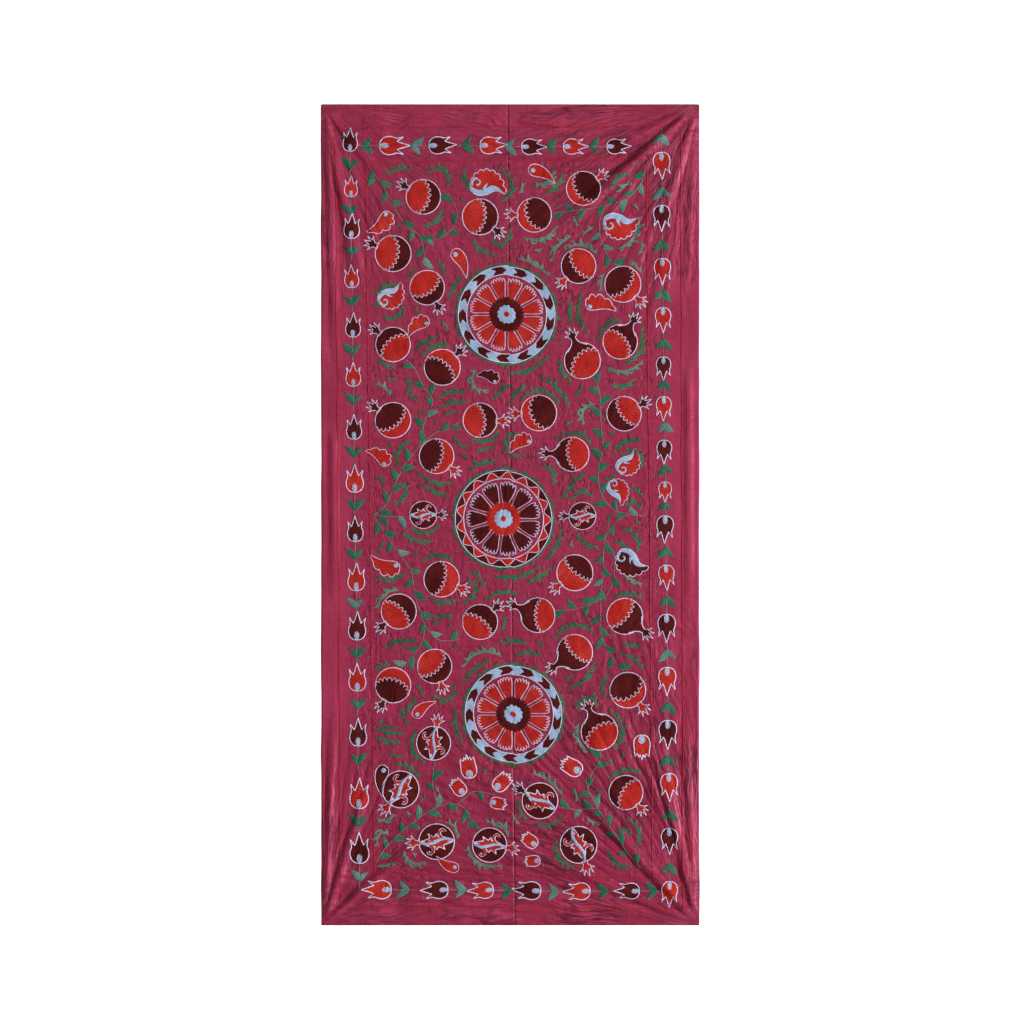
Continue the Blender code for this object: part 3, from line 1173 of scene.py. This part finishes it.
def sew(parts, x, y, degrees=0.0, scale=1.0, flip=False):
    """Copies a motif onto the cloth. Its heights stay over the cloth until the threads are joined."""
    for thread, piece in parts:
        copy = bpy.data.objects.new(piece.name, piece.data.copy())
        points = points_of(copy.data)
        flat = points[:, :2] * scale
        if flip:
            flat[:, 0] *= -1
            copy.data.flip_normals()
        points[:, :2] = turned(flat, degrees, (x, y))
        points[:, 1] += SEAM_JOG * (points[:, 0] > seam_x(points[:, 1]))
        set_points(copy.data, points)
        baskets.setdefault(thread, []).append(copy)


def sew_line(thread, path, width=2.0, rise=0.0006):
    """A single line of chain stitch along a path in metres on the cloth."""
    sew([(thread, chain_line(path, width=width, rise=rise))], 0.0, 0.0)


print("baskets ready")

# %% [markdown]
# The composition comes next: three rosettes on the seam, thirty split pomegranates, eight cut ones, and
# buds, drops and tulips in the gaps between them. Places are given in metres, and directions in
# degrees from +X. What is sewn also marks its ground as taken, as a few circles, so that the tendrils
# can find free silk later.

# %% Ground that is taken
taken = []


def take(x, y, radius):
    """Marks a circle of silk as used."""
    taken.append((x, y, radius))


def is_free(x, y, radius):
    """Whether a circle of silk is still free."""
    circles = np.array(taken)
    return bool((np.hypot(circles[:, 0] - x, circles[:, 1] - y) > radius + circles[:, 2]).all())


ROSETTES = (
    (-0.010, 0.530, rosette("red", "maroon", chevron_band(), petals=12)),
    (-0.018, -0.010, rosette("maroon", "red", wavy_band(), petals=11)),
    (0.008, -0.525, rosette("red", "maroon", chevron_band(), petals=12)),
)
for x, y, parts in ROSETTES:
    sew(parts, x, y)
    take(x, y, 0.147)

print("rosettes sewn:", len(ROSETTES))

# %% Split pomegranates
FRUIT_COLUMNS = ("x", "y", "crown_at", "crescent_at", "disc", "bulge", "crown", "neck")
FRUIT_ROWS = (
    (-0.230, 0.840, 150, -10, "red", 0.12, "maroon", ""),
    (-0.080, 0.787, -40, -8, "red", 0.05, "maroon", ""),
    (0.063, 0.795, 180, 205, "maroon", 0.20, "red", ""),
    (0.193, 0.865, 35, 215, "maroon", 0.22, "red", ""),
    (-0.310, 0.690, 155, -10, "red", 0.05, "maroon", ""),
    (-0.220, 0.600, -60, -55, "red", 0.10, "maroon", ""),
    (0.180, 0.660, 225, 215, "red", 0.02, "red", ""),
    (0.297, 0.612, -45, -40, "maroon", 0.10, "red", ""),
    (-0.310, 0.450, 140, 130, "red", 0.10, "maroon", ""),
    (-0.180, 0.390, 42, 50, "maroon", 0.05, "maroon", ""),
    (0.190, 0.410, 112, 140, "red", 0.15, "maroon", "maroon"),
    (0.290, 0.460, 58, 40, "red", 0.10, "maroon", "maroon"),
    (-0.310, 0.250, 145, -50, "maroon", 0.10, "maroon", ""),
    (-0.080, 0.250, -2, 5, "red", 0.05, "red", ""),
    (0.075, 0.272, 182, 200, "maroon", 0.22, "red", ""),
    (0.300, 0.270, 28, 215, "red", -0.05, "maroon", ""),
    (-0.195, 0.155, -40, -15, "maroon", 0.08, "red", ""),
    (0.163, 0.163, 178, 188, "red", 0.05, "maroon", "maroon"),
    (-0.182, -0.170, -25, -15, "maroon", -0.05, "red", ""),
    (0.170, -0.150, 218, 230, "maroon", -0.25, "red", ""),
    (-0.295, -0.255, 222, 45, "red", 0.00, "maroon", ""),
    (-0.080, -0.283, 42, 52, "red", -0.05, "maroon", ""),
    (0.072, -0.262, 158, 180, "red", -0.10, "maroon", "maroon"),
    (0.302, -0.265, -38, -40, "red", -0.10, "maroon", "maroon"),
    (-0.200, -0.400, -70, -45, "red", 0.05, "red", ""),
    (0.170, -0.360, 215, 225, "red", -0.10, "maroon", "maroon"),
    (-0.310, -0.450, 240, 75, "maroon", 0.10, "maroon", ""),
    (0.310, -0.460, -50, -60, "maroon", 0.20, "red", ""),
    (0.235, -0.570, 115, 125, "red", 0.10, "maroon", "maroon"),
    (0.305, -0.730, -48, 150, "red", 0.00, "red", ""),
)
FRUITS = [dict(zip(FRUIT_COLUMNS, row)) for row in FRUIT_ROWS]
CROWN_RADIUS = 0.018
CROWN_OUT = 0.068
NECK_RISE = 0.009
chance = random.Random(4)
crowns = {thread: crown(thread) for thread in ("red", "maroon")}
necks = {thread: neck(thread) for thread in ("red", "maroon")}
bodies = {}


def point_at(x, y, distance, degrees):
    """The point this far from another, in this direction."""
    return x + distance * math.cos(math.radians(degrees)), y + distance * math.sin(math.radians(degrees))


for fruit in FRUITS:
    scale = chance.uniform(0.97, 1.04)
    kind = (fruit["disc"], chance.choice((10, 11)), fruit["bulge"])
    if kind not in bodies:
        disc, teeth, bulge = kind
        bodies[kind] = fruit_body(disc, "maroon" if disc == "red" else "red", teeth, bulge)
    sew(bodies[kind], fruit["x"], fruit["y"], fruit["crescent_at"] - 90, scale)
    crown_spot = (fruit["x"], fruit["y"])
    if fruit["neck"]:
        sew(necks[fruit["neck"]], *crown_spot, fruit["crown_at"] - 90, scale)
        crown_spot = point_at(*crown_spot, NECK_RISE, fruit["crown_at"])
    sew(crowns[fruit["crown"]], *crown_spot, fruit["crown_at"] - 90, scale)
    take(fruit["x"], fruit["y"], FRUIT_RADIUS * scale + 0.004)
    take(*point_at(fruit["x"], fruit["y"], CROWN_OUT, fruit["crown_at"]), CROWN_RADIUS)

print("split pomegranates sewn:", len(FRUITS))

# %% Cut pomegranates
CUT_COLUMNS = ("x", "y", "crown_at", "scale", "crown")
CUT_ROWS = (
    (-0.230, 0.000, 0, 0.78, "maroon"),
    (0.190, 0.000, 180, 0.78, "maroon"),
    (-0.203, -0.603, 80, 0.97, "red"),
    (-0.290, -0.725, 232, 1.05, "red"),
    (0.078, -0.752, 150, 1.02, "maroon"),
    (-0.195, -0.863, 183, 1.02, "red"),
    (-0.055, -0.872, -8, 0.98, "red"),
    (0.180, -0.868, -70, 1.05, "red"),
)
CUTS = [dict(zip(CUT_COLUMNS, row)) for row in CUT_ROWS]
cut_body = cut_fruit_body()
for cut in CUTS:
    sew(cut_body, cut["x"], cut["y"], cut["crown_at"] - 90, cut["scale"])
    sew(crowns[cut["crown"]], cut["x"], cut["y"], cut["crown_at"] - 90, cut["scale"])
    take(cut["x"], cut["y"], FRUIT_RADIUS * cut["scale"] + 0.004)
    take(*point_at(cut["x"], cut["y"], CROWN_OUT * cut["scale"], cut["crown_at"]), CROWN_RADIUS)

print("cut pomegranates sewn:", len(CUTS))

# %% Buds, drops and small tulips
SMALL_COLUMNS = ("kind", "x", "y", "tip_at", "thread", "scale", "flip")
SMALL_ROWS = (
    ("shell bud", -0.062, 0.880, -12, "red", 1.0, False),
    ("eyed bud", -0.340, 0.775, -120, "red", 0.95, False),
    ("shell bud", 0.288, 0.762, 5, "red", 0.98, True),
    ("shell bud", -0.312, 0.572, 42, "red", 0.82, True),
    ("eyed bud", -0.240, 0.500, 200, "red", 0.85, True),
    ("eyed bud", 0.232, 0.556, 8, "red", 0.98, False),
    ("eyed bud", -0.055, 0.362, 145, "maroon", 0.72, True),
    ("eyed bud", -0.345, 0.150, 128, "red", 0.85, True),
    ("eyed bud", 0.030, 0.192, 195, "red", 0.85, True),
    ("shell bud", 0.315, 0.135, 52, "red", 0.78, True),
    ("shell bud", 0.288, 0.070, -65, "red", 0.74, False),
    ("eyed bud", -0.325, -0.132, 175, "red", 1.0, False),
    ("shell bud", 0.312, -0.128, -28, "maroon", 0.92, True),
    ("drop", 0.070, 0.910, -15, "red", 0.95, False),
    ("drop", -0.138, 0.680, -50, "red", 0.98, False),
    ("drop", -0.240, -0.520, 50, "red", 0.85, False),
    ("drop", -0.338, -0.685, -108, "maroon", 0.98, True),
    ("drop", -0.155, -0.928, 165, "red", 0.80, False),
    ("small tulip", -0.106, -0.695, 100, "red", 1.25, False),
    ("small tulip", -0.122, -0.738, 130, "red", 1.05, False),
    ("small tulip", -0.041, -0.725, 45, "red", 1.18, False),
    ("small tulip", -0.053, -0.758, -10, "red", 0.92, False),
    ("small tulip", 0.069, -0.871, 142, "red", 1.00, False),
    ("small tulip", 0.078, -0.909, 185, "red", 0.88, False),
    ("small tulip", 0.187, -0.677, 150, "red", 1.28, False),
    ("small tulip", 0.347, -0.579, -90, "red", 1.30, False),
)
SMALLS = [dict(zip(SMALL_COLUMNS, row)) for row in SMALL_ROWS]
small_motifs = {}
for thread in ("red", "maroon"):
    small_motifs["shell bud", thread] = shell_bud(thread)
    small_motifs["eyed bud", thread] = eyed_bud(thread)
    small_motifs["drop", thread] = drop(thread)
    small_motifs["small tulip", thread] = tulip(thread, SHORT_TULIP_HALF, (9.5, 6.5, 7.0), 20)
for small in SMALLS:
    parts = small_motifs[small["kind"], small["thread"]]
    sew(parts, small["x"], small["y"], small["tip_at"] - 90, small["scale"], small["flip"])
    reach = 0.030 * small["scale"]
    start = 0.25 if small["kind"] == "small tulip" else -0.55
    for step in (start, start + 1.0):
        take(*point_at(small["x"], small["y"], step * reach, small["tip_at"]), reach * 0.85)

print("small motifs sewn:", len(SMALLS))

# %% [markdown]
# Tulips stand round the border in one file: up the left side, down the right side, and from left to
# right along the head and back along the foot. A thin stalk and a pair of leaves come before each.

# %% Border tulips
BORDER_LEFT_X = (-0.423, -0.398)
BORDER_RIGHT_X = (0.398, 0.421)
PLAIN_GAP = 0.118
HEAD_ROW_Y = 0.975
FOOT_ROW_Y = -0.990
LEFT_YS = (0.96, 0.84, 0.73, 0.60, 0.47, 0.34, 0.20, 0.06, -0.07, -0.20, -0.33, -0.465, -0.61, -0.775, -0.92)
RIGHT_YS = (
    0.96, 0.82, 0.68, 0.55, 0.42, 0.315, 0.20, 0.09, 0.00, -0.13, -0.26, -0.40, -0.54, -0.68, -0.825, -0.965,
)
HEAD_XS = (-0.345, -0.215, -0.080, 0.030, 0.140, 0.255)
FOOT_XS = (-0.315, -0.165, -0.045, 0.080, 0.210, 0.340)
border_tulips = {thread: tulip(thread) for thread in ("red", "maroon")}
leaf_pairs = {thread: leaf_pair(thread) for thread in ("green", "sage")}


def border_file(places, direction, first_thread, sage_share, scales):
    """Tulips at these places, all pointing in one direction, with alternating threads."""
    threads = ("red", "maroon") if first_thread == "red" else ("maroon", "red")
    gaps = [math.dist(place, after) for place, after in zip(places, places[1:])]
    gaps = [PLAIN_GAP, *gaps, PLAIN_GAP]
    for index, (x, y) in enumerate(places):
        thread = threads[index % 2]
        behind, ahead = (min(1.0, gap / PLAIN_GAP) for gap in gaps[index:index + 2])
        scale = float(np.interp(index, (0, len(places)), scales)) * chance.uniform(0.94, 1.07)
        sew(border_tulips[thread], x, y, direction - 90 + chance.uniform(-3, 3), scale * ahead)
        green = "sage" if chance.random() < sage_share else "green"
        back = point_at(x, y, 0.048 * behind, direction + 180)
        lean = direction - 90 + chance.uniform(-6, 6)
        sew(leaf_pairs[green], *back, lean, chance.uniform(0.98, 1.12) * behind, chance.random() < 0.5)
        tail = point_at(x, y, 0.064 * behind, direction + 180)
        sew_line("stalk", even_path(np.array([tail, (x, y)]), 12), width=1.9)


left_file = [(float(np.interp(-y, (-LEFT_YS[0], -LEFT_YS[-1]), BORDER_LEFT_X)), y) for y in LEFT_YS]
right_file = [(np.interp(-y, (-RIGHT_YS[0], -RIGHT_YS[-1]), BORDER_RIGHT_X), y) for y in RIGHT_YS]
border_file(left_file, 90, "maroon", 0.1, (0.90, 1.16))
border_file(right_file[:2], -90, "red", 0.4, (1.05, 1.05))
border_file(right_file[2:3], -90, "red", 0.4, (1.05, 1.05))
border_file(right_file[3:], -90, "red", 0.2, (1.0, 1.08))
border_file([(x, HEAD_ROW_Y) for x in HEAD_XS], 0, "red", 0.4, (1.15, 0.94))
border_file([(x, FOOT_ROW_Y) for x in FOOT_XS], 180, "red", 0.5, (1.10, 1.02))
print("border tulips sewn:", len(left_file) + len(right_file) + len(HEAD_XS) + len(FOOT_XS))

# %% [markdown]
# Two thin red lines of chain stitch frame the tulips, one outside them and one inside, a little wavy as
# a pen line drawn by hand is.

# %% Border lines
OUTER_FRAME = ((-0.462, 1.022), (0.450, 1.030), (0.456, -1.037), (-0.447, -1.035))
INNER_FRAME = ((-0.382, 0.932), (0.360, 0.942), (0.376, -0.955), (-0.358, -0.948))
FRAME_WAVER = 0.0022


def frame_line(corners, seed):
    """A closed frame with a slight waver."""
    for index, start in enumerate(corners):
        end = corners[(index + 1) % 4]
        count = round(math.dist(start, end) / 0.005)
        path = even_path(np.array([start, end]), count)
        share = np.linspace(0.0, 1.0, count + 1)
        waver = FRAME_WAVER * smooth_noise(path[:, 0], path[:, 1], 0.09, 0.09, seed)
        waver *= np.sin(math.pi * share) ** 0.3
        sew_line("frame_red", path + sides_of(path) * waver[:, None], width=3.0)


frame_line(OUTER_FRAME, 41)
frame_line(INNER_FRAME, 42)
print("frames sewn")

# %% [markdown]
# Stalks run in from the inner corners and from the middle of both sides, fork, and end at the fruits.
# Each is a smooth line with leaves set along it on alternate sides.

# %% Stalks
STALKS = (
    ((-375, 920), (-345, 880), (-315, 830), (-280, 770), (-240, 735), (-228, 690), (-235, 655)),
    ((-240, 735), (-190, 730), (-150, 760), (-140, 800), (-165, 850)),
    ((360, 925), (345, 880), (310, 840), (250, 820), (200, 810), (150, 805), (115, 800)),
    ((250, 820), (235, 770), (245, 710), (270, 670), (290, 660)),
    ((-360, 0), (-330, 25), (-305, 80), (-280, 130), (-240, 180), (-200, 215), (-170, 225), (-135, 245)),
    ((-240, 180), (-225, 250), (-205, 300), (-230, 340), (-255, 390), (-275, 410)),
    ((-360, 0), (-320, -5), (-280, -5)),
    (
        (-360, -5), (-330, -50), (-290, -110), (-262, -150), (-250, -220), (-225, -290), (-190, -330),
        (-135, -330),
    ),
    ((-225, -290), (-235, -340), (-265, -380), (-290, -405)),
    ((355, 0), (310, 5), (270, 20), (240, 60), (232, 120), (245, 180), (240, 240), (235, 330), (215, 370)),
    ((310, 5), (275, -20), (250, -60), (245, -120), (240, -190), (215, -230), (170, -245), (120, -250)),
    ((250, -60), (275, -110), (270, -170), (255, -210)),
    ((240, -190), (238, -270), (245, -330), (280, -390), (300, -410)),
    (
        (-355, -920), (-330, -880), (-290, -840), (-240, -800), (-190, -770), (-140, -765), (-110, -790),
        (-115, -830),
    ),
    ((-190, -770), (-205, -710), (-200, -650)),
    ((-140, -765), (-110, -740), (-90, -730), (-40, -740)),
    ((345, -930), (310, -890), (270, -830), (230, -770), (205, -720), (200, -690)),
    ((230, -770), (180, -775), (135, -770)),
    ((205, -720), (215, -680), (235, -650), (240, -620)),
)
STALK_LEAF_STEP = 0.031
single_leaves = {thread: [leaf(thread, 0.036, 0.0076, 0, bow=0.004)] for thread in ("green", "sage")}
stem_samples = []
for route in STALKS:
    path = smooth_path(route, step=4.0)
    sew_line("stalk", path, width=2.0)
    stem_samples += [tuple(point) for point in path[::3]]
    leaves = round(len(path) * 0.004 / STALK_LEAF_STEP)
    for index in range(leaves):
        spot = int((index + 0.7) / (leaves + 0.4) * (len(path) - 2))
        run = path[spot + 1] - path[spot]
        heading = math.degrees(math.atan2(run[1], run[0]))
        side = 1 if index % 2 else -1
        aim = heading + side * chance.uniform(38, 60)
        centre = point_at(*path[spot], 0.020, aim)
        if is_free(*centre, 0.007):
            green = "sage" if chance.random() < 0.15 else "green"
            sew(single_leaves[green], *path[spot], aim - 90, chance.uniform(0.85, 1.15), side < 0)
            take(*centre, 0.012)
for x, y in stem_samples:
    if is_free(x, y, 0.0):
        take(x, y, 0.003)
print("stalks sewn:", len(STALKS))

# %% [markdown]
# Tendrils fill the rest of the field. Each starts at a chance spot of free silk and grows both ways, six
# millimetres at a time. Some hug what they grow beside, and the rest bend freely and turn away only from
# what is in their way. The long ones are kept first, and later rounds fill what is left with shorter
# ones. The draws are seeded, so the cloth comes out the same.

# %% Growing a tendril
FIELD = (-0.368, 0.364, -0.944, 0.931)
GROWTH = 0.006
BAND_HALF = 0.0104
SNUG = 0.0118
MOST_STEPS = 11
MOST_TURN = 16.0


def room_at(circles, x, y):
    """How far points are from the nearest motif or from the edge of the field."""
    left, right, foot, head = FIELD
    away = np.hypot(circles[:, 0] - x[:, None], circles[:, 1] - y[:, None]) - circles[:, 2]
    return np.min([away.min(axis=1), x - left, right - x, y - foot, head - y], axis=0)


def grown(circles, x, y, heading, bend, hugs):
    """The points that a tendril grows through from here, until it is blocked."""
    points = []
    turn = bend
    for _ in range(MOST_STEPS):
        turns = np.clip(turn + np.array([-10.0, -5.0, 0.0, 5.0, 10.0]), -MOST_TURN, MOST_TURN)
        aims = np.radians(heading + turns)
        xs, ys = x + GROWTH * np.cos(aims), y + GROWTH * np.sin(aims)
        room = room_at(circles, xs, ys)
        wish = np.abs(room - SNUG) / MM if hugs else 0.25 * np.abs(turns - bend)
        cost = wish + 0.08 * np.abs(turns - turn) + 100 * (room < BAND_HALF)
        best = int(np.argmin(cost))
        if room[best] < BAND_HALF:
            break
        turn = float(turns[best])
        heading += turn
        x, y = float(xs[best]), float(ys[best])
        points.append((x, y))
    return points


def green_of(x, y):
    """The green thread in use here: the faded one is common near the head's right and the foot."""
    faded_part = (y > 0.62 and x > -0.02) or (y < -0.72 and x < 0.05)
    return "sage" if chance.random() < (0.75 if faded_part else 0.08) else "green"


def tendril_from(circles, x, y, hugs):
    """The points of a tendril through this spot. One that hugs has its motif on the left."""
    away = np.hypot(circles[:, 0] - x, circles[:, 1] - y) - circles[:, 2]
    nearest = circles[int(np.argmin(away))]
    heading = math.degrees(math.atan2(nearest[1] - y, nearest[0] - x)) - 90
    bend = 0.0 if hugs else chance.uniform(3.0, 9.0)
    if not hugs:
        heading += chance.uniform(-70, 70)
    back = grown(circles, x, y, heading + 180, -bend, hugs)
    return [*back[::-1], (x, y), *grown(circles, x, y, heading, bend, hugs)]


print("tendrils grow in steps of mm:", GROWTH / MM)

# %% Fill the field with tendrils
ROUND_COLUMNS = ("hugs", "least_points", "tries")
ROUND_ROWS = (
    (True, 16, 1500), (False, 19, 3500), (False, 14, 4000), (True, 9, 1500), (False, 8, 4000),
    (False, 5, 4000), (False, 3, 3000),
)
HOOK_STEP = 0.0210
STEM_OFF = 0.0054
HUG_ROOM = 0.018
FREE_ROOM = 0.034
KINDS = ("claw", "curl", "claw", "spur", "curl", "claw")


def sew_tendril(points):
    """Sews one tendril: a crescent of green, a red line inside it and hooked leaves on its outer side."""
    thread = green_of(*points[0])
    middle = smooth_path([(x / MM, y / MM) for x, y in points], step=3.4)
    left = sides_of(middle)
    stem = middle + left * STEM_OFF
    share = np.linspace(0.0, 1.0, len(stem))
    stoutness = min(1.0, 0.3 + len(points) / 20)
    swell = 5.6 * stoutness * np.sin(math.pi * share**0.8)
    sew_line(thread, stem, width=1.6 + swell, rise=0.0009)
    beside = stem + left * (0.0022 + 0.5 * swell[:, None] * MM)
    sew_line("shade_red", beside[1:], width=1.5)
    hooks = max(1, round(len(points) * GROWTH / HOOK_STEP))
    first = chance.randrange(len(KINDS))
    for index in range(hooks):
        spot = int((index + 0.4) / hooks * (len(stem) - 1))
        run = stem[min(spot + 1, len(stem) - 1)] - stem[max(spot - 1, 0)]
        heading = math.degrees(math.atan2(run[1], run[0])) + chance.uniform(-10, 10)
        model = hook_models[thread, KINDS[(first + index) % len(KINDS)]]
        fullness = 0.55 + 0.45 * math.sin(math.pi * share[spot] ** 0.8)
        sew(model, *stem[spot], heading + 180, chance.uniform(0.90, 1.08) * stoutness * fullness, flip=True)


circles = np.array(taken)
tendrils = 0
for entry in ROUND_ROWS:
    row = dict(zip(ROUND_COLUMNS, entry))
    for attempt in range(row["tries"]):
        x = chance.uniform(FIELD[0], FIELD[1])
        y = chance.uniform(FIELD[2], FIELD[3])
        room = room_at(circles, np.array([x]), np.array([y]))[0]
        if not BAND_HALF < room < (HUG_ROOM if row["hugs"] else FREE_ROOM):
            continue
        points = tendril_from(circles, x, y, row["hugs"])
        if len(points) < row["least_points"]:
            continue
        sew_tendril(points)
        taken.extend((*point, BAND_HALF) for point in points)
        circles = np.array(taken)
        tendrils += 1
    print("tendrils of at least", row["least_points"], "points so far:", tendrils)

# %% [markdown]
# Silk floss is softer and glossier than the ground. Chain stitch lays it in rows of small linked loops,
# each loop a flat V that points along its row. A real row is about 2.4 mm wide with loops of 4 mm, too
# fine to show from here, so it is drawn half as coarse again. The UV map of each piece is in
# millimetres, so the pattern reads the row from V and the place along it from U. Colours drift from one
# length of floss to the next, because each was dyed by hand.

# %% Floss finishes
ROW_MM = 3.6
STITCH_MM = 6.4
FLOSS_ROUGHNESS = 0.5


def floss(name, main, deep, light):
    """Chain stitch in silk floss, from its main colour, its shadow between rows and a lighter strand."""
    finish, tree, shader = new_finish(name)
    uv = add_node(tree, "ShaderNodeUVMap", uv_map="UVMap").outputs[0]
    split = add_node(tree, "ShaderNodeSeparateXYZ", {"Vector": uv})
    row = maths(tree, "DIVIDE", split.outputs[1], ROW_MM)
    off_middle = maths(tree, "ABSOLUTE", maths(tree, "SUBTRACT", maths(tree, "FRACT", row), 0.5))
    across = maths(tree, "MULTIPLY", off_middle, 2.0)
    stagger = maths(tree, "MULTIPLY", maths(tree, "FLOOR", row), 0.37)
    run = maths(tree, "ADD", maths(tree, "DIVIDE", split.outputs[0], STITCH_MM), stagger)
    chevron = maths(tree, "FRACT", maths(tree, "ADD", run, maths(tree, "MULTIPLY", across, 0.45)))
    groove = maths(tree, "POWER", across, 3.0)
    place = add_node(tree, "ShaderNodeTexCoord").outputs["Object"]
    lots = stretched_noise(tree, place, 60, 60, detail=1.0)
    strands = stretched_noise(tree, place, 3.4, 3.4, detail=2.0, shift=5.0)
    tone = mixed(tree, between(tree, lots, 0.35, 0.70), colour(main), colour(light))
    tone = mixed(tree, between(tree, strands, 0.52, 0.80), tone, colour(light))
    tone = mixed(tree, between(tree, strands, 0.46, 0.26), tone, colour(deep))
    shade = maths(tree, "MULTIPLY", maths(tree, "MAXIMUM", groove, maths(tree, "POWER", chevron, 4.0)), 0.85)
    tone = mixed(tree, shade, tone, colour(deep))
    tree.links.new(tone, shader.inputs["Base Color"])
    shader.inputs["Roughness"].default_value = FLOSS_ROUGHNESS
    shader.inputs["Specular IOR Level"].default_value = 0.28
    shader.inputs["Specular Tint"].default_value = colour(light)
    shader.inputs["Sheen Weight"].default_value = 0.03
    loops = maths(tree, "SUBTRACT", 1.0, maths(tree, "MULTIPLY", chevron, 0.5))
    relief = maths(tree, "MULTIPLY", maths(tree, "SUBTRACT", 1.0, groove), loops)
    bump = add_node(tree, "ShaderNodeBump", {"Height": relief, "Strength": 0.7, "Distance": 0.0012})
    tree.links.new(bump.outputs[0], shader.inputs["Normal"])
    return finish


FLOSS_COLUMNS = ("thread", "name", "main", "deep", "light")
FLOSS_ROWS = (
    ("red", "scarlet silk floss", "#9C1D19", "#6A1011", "#B0302A"),
    ("maroon", "maroon silk floss", "#3F0D0E", "#24070A", "#551818"),
    ("sky", "pale blue silk floss", "#8599B5", "#5F7492", "#9DB1CB"),
    ("lilac", "lilac white silk floss", "#B3AABF", "#82738E", "#C9C0D4"),
    ("green", "leaf green silk floss", "#245544", "#12352A", "#3A6F59"),
    ("sage", "faded green silk floss", "#456962", "#2C4743", "#64867F"),
    ("shade_red", "crimson silk floss", "#9E2426", "#751620", "#B03A2C"),
    ("stalk", "grey green silk floss", "#5F625B", "#41443F", "#777B70"),
    ("frame_red", "brick red silk floss", "#8C1A27", "#66131F", "#A02C30"),
)
finishes = {
    row["thread"]: floss(row["name"], row["main"], row["deep"], row["light"])
    for row in (dict(zip(FLOSS_COLUMNS, entry)) for entry in FLOSS_ROWS)
}
print("floss finishes:", sorted(finishes))

# %% [markdown]
# Last, each thread's copies are joined into one piece, which is then dropped onto the cloth: each point
# keeps its small height over the silk below it.

# %% Join each thread and lay it on the silk
STITCH_LIFT = 0.0004


def join_thread(thread, copies):
    """One piece from all the copies of a thread, lying on the cloth."""
    bpy.ops.object.select_all(action="DESELECT")
    for copy in copies:
        bpy.context.scene.collection.objects.link(copy)
        copy.select_set(True)
    bpy.context.view_layer.objects.active = copies[0]
    bpy.ops.object.join()
    piece = bpy.context.object
    piece.name = f"floss_{thread}"
    points = points_of(piece.data)
    points[:, 2] += cloth_top(points[:, 0], points[:, 1]) + STITCH_LIFT
    set_points(piece.data, points)
    piece.data.materials.clear()
    piece.data.materials.append(finishes[thread])
    print(piece.name, "triangles:", sum(len(face.vertices) - 2 for face in piece.data.polygons))
    return piece


threads = [join_thread(thread, copies) for thread, copies in baskets.items()]
for leftover in [o for o in bpy.data.objects if not o.users_collection]:
    bpy.data.objects.remove(leftover)
print("pieces of floss:", len(threads))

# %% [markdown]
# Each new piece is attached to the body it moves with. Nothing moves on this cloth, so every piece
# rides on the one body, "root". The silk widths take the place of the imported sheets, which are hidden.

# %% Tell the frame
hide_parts("panel_left")
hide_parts("panel_right")
for width in (left_width, right_width):
    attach(width, "root")
for thread in threads:
    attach(thread, "root")
